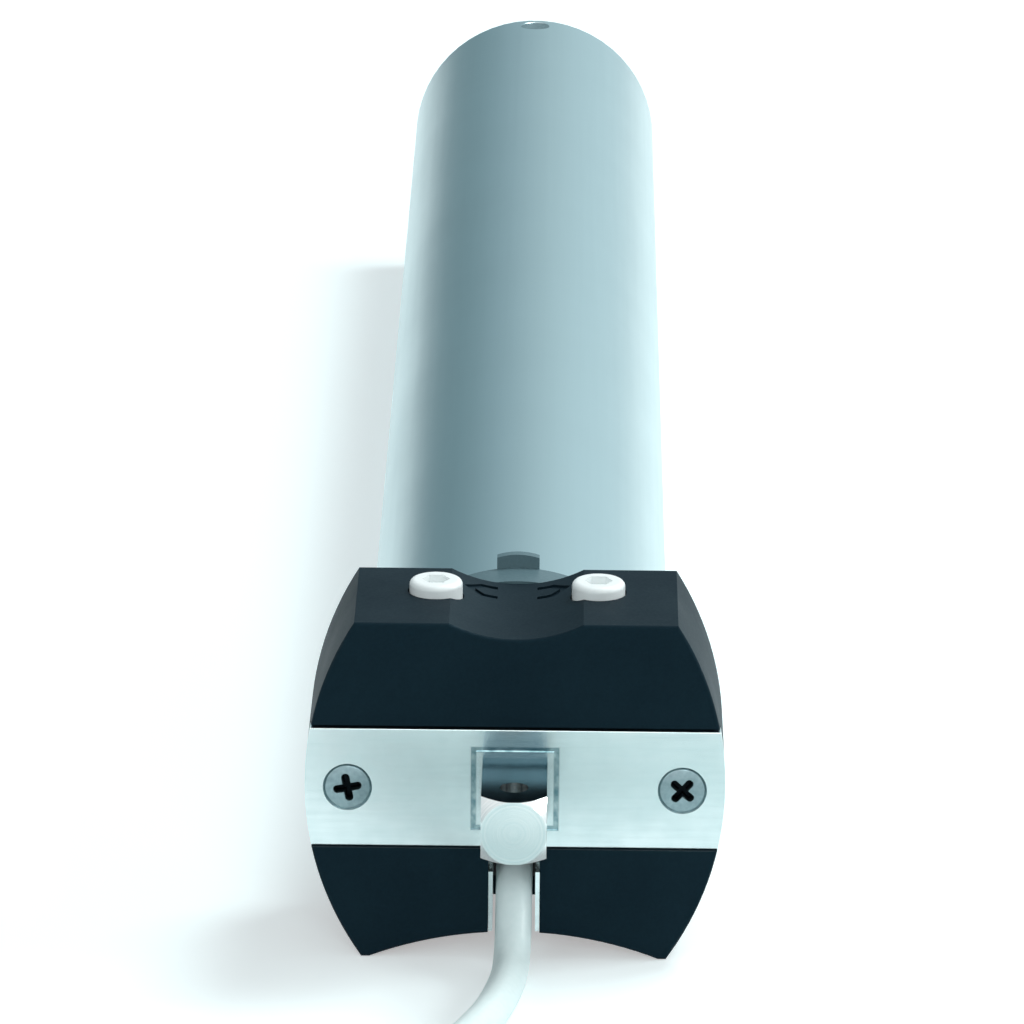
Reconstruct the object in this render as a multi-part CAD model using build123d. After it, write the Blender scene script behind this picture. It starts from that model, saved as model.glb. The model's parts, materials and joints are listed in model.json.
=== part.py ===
from build123d import *
import os
from math import acos, cos, pi, radians, sin, sqrt, tan

# Tubular roller blind motor. Millimetres, +Z up. The origin is on the motor's axis in the
# front face of the steel plate; the square pin points to -Y and the tube runs to +Y.

# Fits shared by all pieces
running_play = 0.04
seat_play = 0.05
face_gap = 0.3
cut_overrun = 1.0

# Tube
tube_radius = 29.0
tube_wall = 1.5
tube_length = 426.0

# Head outline, seen from the front
head_depth = 32.5
head_top = 32.3
head_bottom = 33.2
head_half_width = 38.85
head_widest_height = -1.0
head_top_half_width = 29.75
head_bottom_half_width = 28.35
head_foot_width = 1.5
head_edge_round = 0.5
arch_rise = 5.1
trough_half_width = 12.35
trough_depth = 3.0

# Channel for the plate across the head, and the plate
channel_recess = 0.8
channel_play = 0.85
plate_thickness = 3.0
plate_height = 23.1

# Square pin, its flange behind the plate and the staking marks round its root
pin_width = 12.0
pin_reach = 23.8
pin_tip_radius = 6.1
pin_tip_slant = 3.3
pin_hole_radius = 2.65
pin_hole_distance = 15.8
pin_flange_width = 16.0
pin_flange_thickness = 3.5
stake_width = 16.2
stake_line = 0.9
stake_depth = 0.45
plate_edge_round = 0.25

# Countersunk screws of the plate
plate_screw_inset = 7.9
plate_screw_radius = 2.5
plate_screw_head_radius = 4.2
plate_screw_rim_gap = 0.3
plate_screw_head_depth = 2.4
plate_screw_head_land = 0.25
plate_screw_length = 18.0
recess_length = 4.9
recess_width = 1.1
recess_depth = 1.6
left_recess_turn = -11.0
right_recess_turn = 42.0

# Cable slot, cable clip and grommet
slot_width = 9.6
clip_thickness = 0.8
clip_length = 13.5
clip_front_length = 11.0
clip_front_top = 16.4
clip_back_top = 12.8
grommet_length = 5.5
cable_height = 17.6
cable_radius = 3.4

# Space in the head and the spigot that carries the tube
cavity_radius = 24.0
cavity_start = 9.0
cable_block_half_width = 9.0
cable_block_top = 9.0
spigot_length = 9.7
spigot_bore_radius = 21.5
journal_radius = 25.5
tube_seat_length = 23.5
seat_wall = 5.95
bulkhead_start = 50.0
bulkhead_thickness = 3.0
shaft_boss_half_width = 4.5
shaft_boss_top = 17.5
spigot_screw_radius = 1.4
spigot_screw_head_radius = 2.6
spigot_screw_spacing = 28.0
spigot_screw_depth = 27.0
spigot_screw_recess = 1.2
spigot_screw_head_height = 1.6

# Crown ring with its inner gear, shoulder and key
crown_radius = 29.8
crown_body_length = 8.0
crown_shoulder_length = 2.0
crown_step = 0.8
crown_gear_length = 5.0
crown_teeth = 68
crown_module = 0.8
key_width = 8.0
key_reach = 32.4
key_crown = 0.65
key_root_depth = 1.0

# Limit drive
limit_pinion_teeth = 12
limit_pinion_width = 3.6
limit_shaft_radius = 1.5
cam_gear_module = 0.6
cam_pinion_teeth = 10
cam_wheel_teeth = 40
cam_gear_start = 45.0
cam_gear_width = 3.0
cam_lobe_radius = 7.0
cam_lobe_offset = 2.5
cam_lobe_width = 3.0

# Limit adjusters, set wheels, their frame and the switches
adjuster_spacing = 30.2
adjuster_distance = 18.6
adjuster_cap_radius = 4.95
adjuster_cap_top = 2.3
adjuster_cap_depth = 3.2
adjuster_cap_round = 1.1
adjuster_shaft_radius = 2.4
adjuster_socket_width = 4.6
adjuster_socket_depth = 3.6
set_gear_module = 0.6
adjuster_teeth = 10
set_wheel_teeth = 20
set_gear_width = 3.5
set_cam_radius = 4.2
set_cam_offset = 1.0
set_cam_height = 2.5
frame_top = 4.5
frame_thickness = 2.0
frame_length = 30.0
switch_length = 12.8
switch_height = 6.5
switch_width = 5.8
switch_gap = 2.2
plunger_radius = 0.7
plunger_reach = 1.2
terminal_length = 9.5
terminal_height = 9.0
terminal_half_width = 5.0

# Engraved arrows beside the adjusters
arrow_start = 3.7
arrow_shaft = 2.8
arrow_tip = 2.4
arrow_half_width = 2.7
arrow_line = 1.5
arrow_depth = 0.4
arrow_distance = 25.6

# Screws through the tube wall
tube_screw_radius = 1.9
tube_screw_head_radius = 3.4
tube_screw_length = 5.5
front_screw_inset = 12.0
rear_screw_inset = 5.0
front_screw_angles = (30, 150, 270)
rear_screw_angles = (90, 210, 330)

# Capacitor: shares of the tube's bore and of the free length between spigot and motor
capacitor_radius_share = 0.636
capacitor_length_share = 0.49
capacitor_lead_share = 0.6
capacitor_rim_round = 1.0
sleeve_gap = 0.35
sleeve_length_share = 0.34

# Gearbox at the far end: its module is a share of the tube's bore
gear_module_share = 0.04
sun_teeth = 12
planet_teeth = 15
stage_pitch = 19.0
planet_width = 13.5
carrier_thickness = 4.0
carrier_rim = 5.65
planet_pin_radius = 2.5
stage_count = 3
planets_per_stage = 3
end_cover_depth = 16.0
output_bush_radius = 12.0
output_journal_radius = 9.0
output_neck_length = 2.5
output_square = 10.0
output_square_length = 20.0
output_hole_radius = 2.5
output_hole_depth = 12.0
circlip_groove_radius = 5.6
circlip_outer_radius = 8.2
circlip_thickness = 1.2
circlip_inset = 4.0
circlip_mouth = 6.0

# Motor and brake: the shares are of the tube's bore, and of its length for the stator
flange_depth = 10.0
lining_thickness = 3.4
lining_outer_share = 0.69
lining_inner_share = 0.436
brake_disc_thickness = 4.0
brake_disc_share = 0.727
brake_spring_height = 2.2
brake_spring_radius = 10.0
brake_spring_thickness = 0.8
shield_thickness = 12.0
shield_gap = 5.0
stator_length_share = 0.258
stator_bore_share = 0.56
stator_slots = 12
slot_centre_share = 0.75
slot_radius_share = 0.095
winding_reach = 11.0
winding_outer_share = 0.91
winding_inner_share = 0.62
winding_play = 0.4
air_gap = 0.4
rotor_shaft_radius = 5.0
bush_radius = 8.5
shaft_tail = 2.0

# Gear tooth form: shares of the module, backlash as a share of it too, and pressure angle
tip_share = 0.8
root_share = 1.05
backlash_share = 0.09
pressure_angle = radians(25)

# Cable route from the grommet to the coil: points on the cable's centre line
floor_height = -head_bottom
cable_floor_height = floor_height + cable_radius
slope_start = 1.5
slope_end = -10.7
bend_points = ((-1.2, -25.0), (-5.0, -42.0), (-13.0, -60.0), (-26.0, -78.0), (-38.0, -97.0))
coil_entry = (-40.0, -117.0)

# Coil of the put-away length, and the stripped end
coil_inner_radius = 24.5
coil_pitch = 7.6
coil_layer_rise = 7.4
coil_half_turns = 7
core_count = 4
core_first_angle = 135
core_radius = 0.95
core_length = 30.0
core_circle_radius = 1.5
core_spread_share = 3.2
ferrule_radius = 1.15
ferrule_length = 8.0

# Points of a core's route: shares of its length, of its lane, and of the way down to the floor
core_route_shares = ((0.23, 0, 0), (0.53, 0.7, 0.5), (0.83, 1, 1), (1.1, 1.2, 1))
run_share = 0.45

# Places along the motor's axis that follow from the lengths
head_front = -channel_recess
head_rear = head_front + head_depth
grommet_start = clip_length + face_gap
slot_end = grommet_start + grommet_length
crown_start = head_rear + face_gap
crown_shoulder_start = crown_start + crown_body_length
crown_end = crown_shoulder_start + crown_shoulder_length
tube_start = crown_end + face_gap
tube_end = tube_start + tube_length
tube_bore_radius = tube_radius - tube_wall
seat_radius = tube_bore_radius - seat_play
crown_shoulder_radius = crown_radius - crown_step
plate_screw_distance = head_half_width - plate_screw_inset
seat_bore_radius = seat_radius - seat_wall
gear_module = gear_module_share * tube_bore_radius
stator_length = stator_length_share * tube_length
stator_bore_radius = stator_bore_share * tube_bore_radius
slot_centre_radius = slot_centre_share * tube_bore_radius
slot_radius = slot_radius_share * tube_bore_radius
capacitor_radius = capacitor_radius_share * tube_bore_radius
spigot_start = head_rear - spigot_length
spigot_end = tube_start + tube_seat_length
end_cover_start = tube_end - end_cover_depth
ring_gear_start = end_cover_start - stage_count * stage_pitch
flange_start = ring_gear_start - flange_depth
lining_start = flange_start - lining_thickness
brake_disc_start = lining_start - face_gap - brake_disc_thickness
shield_rear_end = brake_disc_start - brake_spring_height - face_gap
shield_rear_start = shield_rear_end - shield_thickness
stator_end = shield_rear_start - shield_gap - winding_reach
stator_start = stator_end - stator_length
shield_front_end = stator_start - winding_reach - shield_gap
shield_front_start = shield_front_end - shield_thickness
capacitor_space = shield_front_start - shaft_tail - spigot_end
capacitor_length = capacitor_length_share * capacitor_space
capacitor_start = spigot_end + capacitor_lead_share * (capacitor_space - capacitor_length)

ring_teeth = sun_teeth + 2 * planet_teeth
planet_orbit = gear_module * (sun_teeth + planet_teeth) / 2
limit_pinion_height = crown_module * (crown_teeth - limit_pinion_teeth) / 2
limit_pinion_start = crown_start + (crown_gear_length - limit_pinion_width) / 2
cam_wheel_height = limit_pinion_height - cam_gear_module * (cam_pinion_teeth + cam_wheel_teeth) / 2
frame_floor = frame_top - frame_thickness
frame_start = cavity_start + face_gap
set_gear_start = frame_top + face_gap
set_wheel_step = set_gear_module * (adjuster_teeth + set_wheel_teeth) / 2 * cos(pi / 4)


def block(x_range, y_range, z_range):
    """Box that spans three ranges."""
    ranges = (x_range, y_range, z_range)
    sizes = [high - low for low, high in ranges]
    centre = [(high + low) / 2 for low, high in ranges]
    return Pos(*centre) * Box(*sizes)


def along_y(face, start, end):
    """Solid of a face drawn in X and Z, from one place on the axis to another."""
    return extrude(Plane.XZ.offset(-start) * face, amount=start - end)


def along_z(face, start, end):
    """Solid of a face drawn in X and Y, from one height to another."""
    return extrude(Plane.XY.offset(start) * face, amount=end - start)


def rod(start, end, radius, x=0, z=0):
    """Round bar along Y."""
    return along_y(Pos(x, z) * Circle(radius), start, end)


def ring(start, end, outer_radius, inner_radius):
    """Hollow cylinder along Y."""
    bore = rod(start - cut_overrun, end + cut_overrun, inner_radius)
    return rod(start, end, outer_radius) - bore


def around_axis(shape, count, first=0):
    """Copies of a shape turned round the motor's axis."""
    return [Rot(0, first + turn * 360 / count, 0) * shape for turn in range(count)]


def gear_face(teeth, module, play, tip, root, pointing=90):
    """Gear outline with three points on each flank and a tooth at the given angle."""
    pitch_radius = teeth * module / 2
    base_radius = pitch_radius * cos(pressure_angle)

    def involute(radius):
        lean = acos(min(1, base_radius / radius))
        return tan(lean) - lean

    def half_angle(radius):
        at_pitch = pi / 2 / teeth + play / (2 * pitch_radius)
        return at_pitch + involute(pitch_radius) - involute(radius)

    flank_radii = (pitch_radius - root * module, pitch_radius, pitch_radius + tip * module)
    flank = [(radius, half_angle(radius)) for radius in flank_radii]
    outline = []
    for tooth in range(teeth):
        middle = radians(pointing) + tooth * 2 * pi / teeth
        rising = [(radius, middle - angle) for radius, angle in flank]
        falling = [(radius, middle + angle) for radius, angle in reversed(flank)]
        outline += [(radius * cos(angle), radius * sin(angle)) for radius, angle in rising + falling]
    return Polygon(*outline, align=None)


def outer_gear(teeth, module, pointing=90):
    """Outline of a gear with outside teeth."""
    return gear_face(teeth, module, -backlash_share * module, tip_share, root_share, pointing)


def inner_gear(teeth, module):
    """Outline of the hole in a gear with inside teeth."""
    return gear_face(teeth, module, backlash_share * module, root_share, tip_share)


def head_outline():
    """The head seen from the front: pads, trough, barrel sides, feet and arch."""
    top, low = head_top, floor_height
    foot = head_bottom_half_width - head_foot_width
    right_top = (head_top_half_width, top)
    right_foot = (head_bottom_half_width, low)
    left_top = (-head_top_half_width, top)
    left_foot = (-head_bottom_half_width, low)
    edges = [
        Line(left_top, (-trough_half_width, top)),
        ThreePointArc((-trough_half_width, top), (0, top - trough_depth), (trough_half_width, top)),
        Line((trough_half_width, top), right_top),
        ThreePointArc(right_top, (head_half_width, head_widest_height), right_foot),
        Line(right_foot, (foot, low)),
        ThreePointArc((foot, low), (0, low + arch_rise), (-foot, low)),
        Line((-foot, low), left_foot),
        ThreePointArc(left_foot, (-head_half_width, head_widest_height), left_top),
    ]
    return make_face(edges)


def arrow_cutters():
    """Two hollow arrows that point from the middle to the adjusters, as deep as the engraving."""
    shoulder = arrow_start + arrow_shaft
    points = (
        (arrow_start, arrow_half_width),
        (shoulder, arrow_half_width),
        (shoulder + arrow_tip, 0),
        (shoulder, -arrow_half_width),
        (arrow_start, -arrow_half_width),
    )
    trough_radius = (trough_half_width**2 + trough_depth**2) / (2 * trough_depth)
    trough_axis = head_top - trough_depth + trough_radius
    engraving = rod(head_front, head_rear, trough_radius + arrow_depth, z=trough_axis)
    cutters = []
    for side in (-1, 1):
        line = Polyline(*[(side * x, y) for x, y in points])
        arrow = Pos(0, arrow_distance) * trace(line, line_width=arrow_line)
        cutters.append(along_z(arrow, 0, head_top + cut_overrun) & engraving)
    return cutters


def make_head_housing():
    """Moulded head that carries the plate, the adjusters and the spigot."""
    body = along_y(head_outline(), head_front, head_rear)
    front_edges = body.edges().filter_by_position(Axis.Y, head_front - seat_play, head_front + seat_play)
    body = fillet(front_edges, head_edge_round)
    half_plate = plate_height / 2
    reach = head_half_width + cut_overrun
    body -= block(
        (-reach, reach),
        (head_front - cut_overrun, plate_thickness),
        (-half_plate - seat_play, half_plate + channel_play),
    )
    cable_block = block(
        (-cable_block_half_width, cable_block_half_width),
        (cavity_start - cut_overrun, slot_end),
        (-cavity_radius - cut_overrun, -cable_block_top),
    )
    body -= rod(cavity_start, head_rear + cut_overrun, cavity_radius) - cable_block
    half_slot = slot_width / 2
    body -= block(
        (-half_slot, half_slot),
        (head_front - cut_overrun, slot_end),
        (floor_height - cut_overrun, -half_plate),
    )
    half_flange = pin_flange_width / 2 + seat_play
    body -= block(
        (-half_flange, half_flange),
        (plate_thickness - cut_overrun, plate_thickness + pin_flange_thickness + seat_play),
        (-half_flange, half_flange),
    )
    screw_bore = plate_screw_radius + running_play / 2
    for side in (-1, 1):
        body -= rod(0, plate_screw_length + face_gap, screw_bore, x=side * plate_screw_distance)
        place = Pos(side * adjuster_spacing / 2, adjuster_distance)
        body -= along_z(place * Circle(adjuster_shaft_radius + running_play), 0, head_top + cut_overrun)
        seat = head_top - adjuster_cap_depth - face_gap
        body -= along_z(place * Circle(adjuster_cap_radius + face_gap), seat, head_top + cut_overrun)
        screw_place = Pos(side * spigot_screw_spacing / 2, spigot_screw_depth)
        body -= along_z(screw_place * Circle(spigot_screw_radius + running_play), floor_height, 0)
        head_hole = Circle(spigot_screw_head_radius + seat_play)
        body -= along_z(screw_place * head_hole, floor_height - cut_overrun, spigot_screw_seat())
    for arrow in arrow_cutters():
        body -= arrow
    return body


def spigot_screw_seat():
    """Height of the face under the heads of the spigot's screws."""
    half_span = head_bottom_half_width - head_foot_width
    arch_radius = (half_span**2 + arch_rise**2) / (2 * arch_rise)
    arch_axis = floor_height + arch_rise - arch_radius
    arch_height = arch_axis + sqrt(arch_radius**2 - (spigot_screw_spacing / 2) ** 2)
    return arch_height + spigot_screw_recess + spigot_screw_head_height


def make_spigot():
    """Moulded sleeve behind the head: journal of the crown ring and seat of the tube."""
    body = rod(spigot_start, head_rear, cavity_radius - seat_play)
    body += rod(head_rear, crown_end + running_play, journal_radius)
    body += rod(crown_end + running_play, spigot_end, seat_radius)
    bore = rod(spigot_start - cut_overrun, bulkhead_start, spigot_bore_radius)
    bore -= block(
        (-shaft_boss_half_width, shaft_boss_half_width),
        (head_rear, cam_gear_start - face_gap),
        (-journal_radius, -shaft_boss_top),
    )
    body -= bore
    body -= rod(bulkhead_start + bulkhead_thickness, spigot_end + cut_overrun, seat_bore_radius)
    pinion_tip = crown_module * (limit_pinion_teeth / 2 + tip_share) + face_gap
    pinion_end = limit_pinion_start + limit_pinion_width
    body -= rod(limit_pinion_start - face_gap, pinion_end + face_gap, pinion_tip, z=-limit_pinion_height)
    shaft_hole = limit_shaft_radius + running_play
    body -= rod(spigot_start, cam_gear_start, shaft_hole, z=-limit_pinion_height)
    small_tip = cam_gear_module * (cam_pinion_teeth / 2 + tip_share) + face_gap
    cam_end = cam_gear_start + cam_gear_width + face_gap
    body -= rod(cam_gear_start - face_gap, cam_end, small_tip, z=-limit_pinion_height)
    bulkhead_end = bulkhead_start + bulkhead_thickness
    body -= rod(bulkhead_start - cut_overrun, bulkhead_end + cut_overrun, shaft_hole, z=-cam_wheel_height)
    for side in (-1, 1):
        screw_place = Pos(side * spigot_screw_spacing / 2, spigot_screw_depth)
        body -= along_z(screw_place * Circle(spigot_screw_radius + running_play), floor_height, 0)
    return body.cut(*[screw_clearance(screw) for screw in front_tube_screws()])


def make_front_plate():
    """Zinc-plated steel strip that closes the channel and holds the pin."""
    half_plate = plate_height / 2
    strip = head_outline() & Rectangle(2 * head_half_width, plate_height)
    body = along_y(strip, 0, plate_thickness)
    body -= along_y(Rectangle(pin_width, pin_width), -cut_overrun, plate_thickness + cut_overrun)
    stake_outer = Rectangle(stake_width, stake_width)
    stake_inner = Rectangle(stake_width - 2 * stake_line, stake_width - 2 * stake_line)
    body -= along_y(stake_outer - stake_inner, -cut_overrun, stake_depth)
    for side in (-1, 1):
        x = side * plate_screw_distance
        body -= plate_screw_shape(x, seat_play, plate_screw_rim_gap)
    return round_plate_edges(body, half_plate)


def round_plate_edges(body, half_plate):
    """Round the plate's long front edges lightly."""
    edges = body.edges().filter_by(GeomType.LINE).filter_by(Axis.X)
    long_edges = [edge for edge in edges if abs(abs(edge.center().Z) - half_plate) < seat_play]
    front_edges = [edge for edge in long_edges if abs(edge.center().Y) < seat_play]
    return fillet(front_edges, plate_edge_round)


def make_square_pin():
    """Square pin with a turned tip, a cross hole and a flange behind the plate."""
    body = along_y(Rectangle(pin_width, pin_width), -pin_reach, plate_thickness)
    half_diagonal = pin_width / sqrt(2)
    tip = [
        (0, -pin_reach),
        (pin_tip_radius, -pin_reach),
        (half_diagonal, pin_tip_slant - pin_reach),
        (half_diagonal, plate_thickness),
        (0, plate_thickness),
        (0, -pin_reach),
    ]
    body &= revolve(make_face(Polyline(*tip)), Axis.Y)
    flange = Rectangle(pin_flange_width, pin_flange_width)
    body += along_y(flange, plate_thickness, plate_thickness + pin_flange_thickness)
    hole = Pos(0, -pin_hole_distance) * Circle(pin_hole_radius)
    return body - along_z(hole, -pin_width, pin_width)


def plate_screw_shape(x, growth=0, rim_gap=0):
    """Countersunk screw of the plate, or the hole for it when it grows, with a gap round the head."""
    shank = plate_screw_radius + growth
    head = plate_screw_head_radius + growth + rim_gap
    taper = [
        (0, -growth),
        (head, -growth),
        (head, plate_screw_head_land),
        (shank, plate_screw_head_depth),
        (shank, plate_screw_length),
        (0, plate_screw_length),
        (0, -growth),
    ]
    return Pos(x, 0, 0) * revolve(make_face(Polyline(*taper)), Axis.Y)


def make_plate_screws():
    """The two countersunk screws, each with its cross recess at its own turn."""
    screws = []
    for side, turn in ((-1, left_recess_turn), (1, right_recess_turn)):
        cross = Rectangle(recess_length, recess_width) + Rectangle(recess_width, recess_length)
        place = Pos(side * plate_screw_distance, 0) * Rot(0, 0, turn)
        cut = along_y(place * cross, -cut_overrun, recess_depth)
        screws.append(plate_screw_shape(side * plate_screw_distance) - cut)
    return screws


def make_spigot_screws():
    """Two screws that hold the spigot in the head from below."""
    seat = spigot_screw_seat()
    inner_height = sqrt((cavity_radius - seat_play) ** 2 - (spigot_screw_spacing / 2) ** 2)
    screws = []
    for side in (-1, 1):
        place = Pos(side * spigot_screw_spacing / 2, spigot_screw_depth)
        shank = along_z(place * Circle(spigot_screw_radius), seat, -inner_height + spigot_screw_head_radius)
        head = along_z(place * Circle(spigot_screw_head_radius), seat - spigot_screw_head_height, seat)
        screws.append(shank + head)
    return screws


def crown_key():
    """Key on the crown ring's shoulder, with a rounded top."""
    half, low = key_width / 2, journal_radius + key_root_depth
    corner = key_reach - key_crown
    sides = Polyline((-half, corner), (-half, low), (half, low), (half, corner))
    top = ThreePointArc((half, corner), (0, key_reach), (-half, corner))
    return along_y(make_face([*sides.edges(), *top.edges()]), crown_shoulder_start, crown_end)


def make_crown_ring():
    """Ring that turns on the spigot, with inside teeth, a shoulder and a key."""
    bore = journal_radius + running_play
    body = rod(crown_start, crown_shoulder_start, crown_radius)
    body += rod(crown_shoulder_start, crown_end, crown_shoulder_radius) + crown_key()
    body -= rod(crown_start - cut_overrun, crown_end + cut_overrun, bore)
    teeth = inner_gear(crown_teeth, crown_module)
    return body - along_y(teeth, crown_start - cut_overrun, crown_start + crown_gear_length)


def make_limit_pinion():
    """Pinion that the crown ring drives, with a shaft and a small gear at its end."""
    place = Pos(0, -limit_pinion_height)
    body = rod(spigot_start + face_gap, cam_gear_start, limit_shaft_radius, z=-limit_pinion_height)
    pinion = outer_gear(limit_pinion_teeth, crown_module, pointing=-90)
    body += along_y(place * pinion, limit_pinion_start, limit_pinion_start + limit_pinion_width)
    small = outer_gear(cam_pinion_teeth, cam_gear_module)
    return body + along_y(place * small, cam_gear_start, cam_gear_start + cam_gear_width)


def make_cam_wheel():
    """Wheel that the limit pinion turns slowly, with the lobe that trips the switches."""
    place = Pos(0, -cam_wheel_height)
    gap_angle = -90 + 180 / cam_wheel_teeth
    wheel = outer_gear(cam_wheel_teeth, cam_gear_module, pointing=gap_angle)
    body = along_y(place * wheel, cam_gear_start, cam_gear_start + cam_gear_width)
    shaft_end = bulkhead_start + bulkhead_thickness
    body += rod(cam_gear_start, shaft_end, limit_shaft_radius, z=-cam_wheel_height)
    lobe_height = cam_lobe_offset - cam_wheel_height
    return body + rod(cam_gear_start - cam_lobe_width, cam_gear_start, cam_lobe_radius, z=lobe_height)


def set_wheel_place(side):
    """X and Y of a set wheel's axis."""
    return side * (adjuster_spacing / 2 - set_wheel_step), adjuster_distance + set_wheel_step


def make_adjuster(side):
    """White cap with a hex socket on a shaft that ends in a small gear and a journal."""
    place = Pos(side * adjuster_spacing / 2, adjuster_distance)
    cap_top = head_top + adjuster_cap_top
    cap = along_z(place * Circle(adjuster_cap_radius), head_top - adjuster_cap_depth, cap_top)
    cap = fillet(cap.edges().sort_by(Axis.Z)[-1], adjuster_cap_round)
    socket = RegularPolygon(adjuster_socket_width / 2, 6, major_radius=False)
    cap -= along_z(place * socket, cap_top - adjuster_socket_depth, cap_top + cut_overrun)
    pointing = 135 if side > 0 else 45
    gear = outer_gear(adjuster_teeth, set_gear_module, pointing)
    gear_end = set_gear_start + set_gear_width
    body = cap + along_z(place * Circle(adjuster_shaft_radius), gear_end, head_top - adjuster_cap_depth)
    body += along_z(place * gear, set_gear_start, gear_end)
    return body + along_z(place * Circle(limit_shaft_radius), frame_floor, set_gear_start)


def make_set_wheel(side):
    """Gear that an adjuster turns, with the cam that stands against a switch."""
    place = Pos(*set_wheel_place(side))
    facing = -45 if side > 0 else -135
    gear = outer_gear(set_wheel_teeth, set_gear_module, facing + 180 / set_wheel_teeth)
    gear_end = set_gear_start + set_gear_width
    body = along_z(place * gear, set_gear_start, gear_end)
    body += along_z(place * Circle(limit_shaft_radius), frame_floor, set_gear_start)
    cam = Pos(0, set_cam_offset) * Circle(set_cam_radius)
    return body + along_z(place * cam, gear_end, gear_end + set_cam_height)


def make_limit_frame():
    """Flat frame across the spigot's bore that carries the adjusters' and set wheels' journals."""
    half_width = sqrt((spigot_bore_radius - seat_play) ** 2 - frame_top**2)
    frame_end = frame_start + frame_length
    body = block((-half_width, half_width), (frame_start, frame_end), (frame_floor, frame_top))
    for side in (-1, 1):
        for place in ((side * adjuster_spacing / 2, adjuster_distance), set_wheel_place(side)):
            hole = Pos(*place) * Circle(limit_shaft_radius + running_play)
            body -= along_z(hole, frame_floor - cut_overrun, frame_top + cut_overrun)
    return body


def make_switch(side):
    """Small snap switch that stands on the frame with its plunger towards a set wheel."""
    x, y = set_wheel_place(side)
    start = y + set_gear_module * (set_wheel_teeth / 2 + tip_share) + switch_gap
    half_length = switch_length / 2
    x_range, y_range = (x - half_length, x + half_length), (start, start + switch_width)
    body = block(x_range, y_range, (frame_top, frame_top + switch_height))
    plunger_height = set_gear_start + set_gear_width + set_cam_height / 2
    return body + rod(start - plunger_reach, start, plunger_radius, x=x, z=plunger_height)


def make_cable_clip():
    """Bright bent clip that lines the slot and bridges over the cable."""
    outer = slot_width / 2 - seat_play
    inner = outer - clip_thickness
    arch_top = floor_height + arch_rise
    pieces = []
    for side in (-1, 1):
        x_range = sorted((side * inner, side * outer))
        pieces.append(block(x_range, (0, clip_length), (arch_top, -clip_front_top)))
        pieces.append(block(x_range, (clip_front_length, clip_length), (arch_top, -clip_back_top)))
    bridge_floor = -clip_back_top - clip_thickness
    bridge = block((-outer, outer), (clip_front_length, clip_length), (bridge_floor, -clip_back_top))
    return pieces[0].fuse(*pieces[1:], bridge)


def make_cable_grommet():
    """Rubber block that grips the cable at the end of the slot."""
    half_width = slot_width / 2 - seat_play
    height_range = (-cable_height - half_width, -cable_height + half_width)
    return block((-half_width, half_width), (grommet_start, slot_end), height_range)


def make_terminal_block():
    """Block behind the grommet where the cable's cores are joined to the motor."""
    start = slot_end + face_gap
    low = -sqrt((spigot_bore_radius - seat_play) ** 2 - terminal_half_width**2)
    x_range, y_range = (-terminal_half_width, terminal_half_width), (start, start + terminal_length)
    return block(x_range, y_range, (low, low + terminal_height))


def tube_screw(angle, y, growth=0, overrun=0, seam_plane=Plane.XZ):
    """Countersunk screw through the tube wall, or its hole when it grows and runs past the wall."""
    shank = tube_screw_radius + growth
    head = tube_screw_head_radius + growth
    taper = (head - shank) / tube_wall
    outline = [
        (0, -tube_screw_length),
        (shank, -tube_screw_length),
        (shank, -tube_wall),
        (head + taper * overrun, overrun),
        (0, overrun),
        (0, -tube_screw_length),
    ]
    screw = revolve(seam_plane * make_face(Polyline(*outline)), Axis.Z)
    crown_drop = tube_radius - sqrt(tube_radius**2 - tube_screw_head_radius**2)
    return Rot(0, 90 - angle, 0) * Pos(0, y, tube_radius - crown_drop) * screw


def screw_clearance(screw, seam_plane=Plane.XZ):
    """Hole for one screw of the tube."""
    angle, y = screw
    return tube_screw(angle, y, seat_play, cut_overrun, seam_plane)


def front_tube_screws():
    """Angle and place of the screws in the spigot."""
    return [(angle, tube_start + front_screw_inset) for angle in front_screw_angles]


def rear_tube_screws():
    """Angle and place of the screws in the end cover."""
    return [(angle, tube_end - rear_screw_inset) for angle in rear_screw_angles]


def make_tube_screws():
    """All countersunk screws of the tube."""
    return [tube_screw(angle, y) for angle, y in front_tube_screws() + rear_tube_screws()]


def make_motor_tube():
    """Drawn steel tube with the countersunk holes of its screws, whose seams lie along it."""
    body = ring(tube_start, tube_end, tube_radius, tube_bore_radius)
    screws = front_tube_screws() + rear_tube_screws()
    return body.cut(*[screw_clearance(screw, Plane.YZ) for screw in screws])


def make_capacitor():
    """Run capacitor on the motor's axis, with a stepped rim."""
    body = rod(capacitor_start, capacitor_start + capacitor_length, capacitor_radius)
    edges = body.edges().filter_by(GeomType.CIRCLE)
    return fillet(edges, capacitor_rim_round)


def make_capacitor_sleeve():
    """Foam sleeve that centres the capacitor in the tube."""
    length = sleeve_length_share * capacitor_length
    start = capacitor_start + (capacitor_length - length) / 2
    return ring(start, start + length, tube_bore_radius - sleeve_gap, capacitor_radius + seat_play)


def make_shield(start, end):
    """Round end shield of the motor with the seat of its bush."""
    return ring(start, end, seat_radius, bush_radius)


def make_rotor_bushes():
    """Two sintered bushes of the rotor shaft."""
    places = ((shield_front_start, shield_front_end), (shield_rear_start, shield_rear_end))
    return [ring(start, end, bush_radius, rotor_shaft_radius + running_play) for start, end in places]


def make_stator_core():
    """Laminated core with round slots that open towards the rotor."""
    body = ring(stator_start, stator_end, seat_radius, stator_bore_radius)
    slot = rod(stator_start - cut_overrun, stator_end + cut_overrun, slot_radius, x=slot_centre_radius)
    return body.cut(*around_axis(slot, stator_slots))


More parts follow.
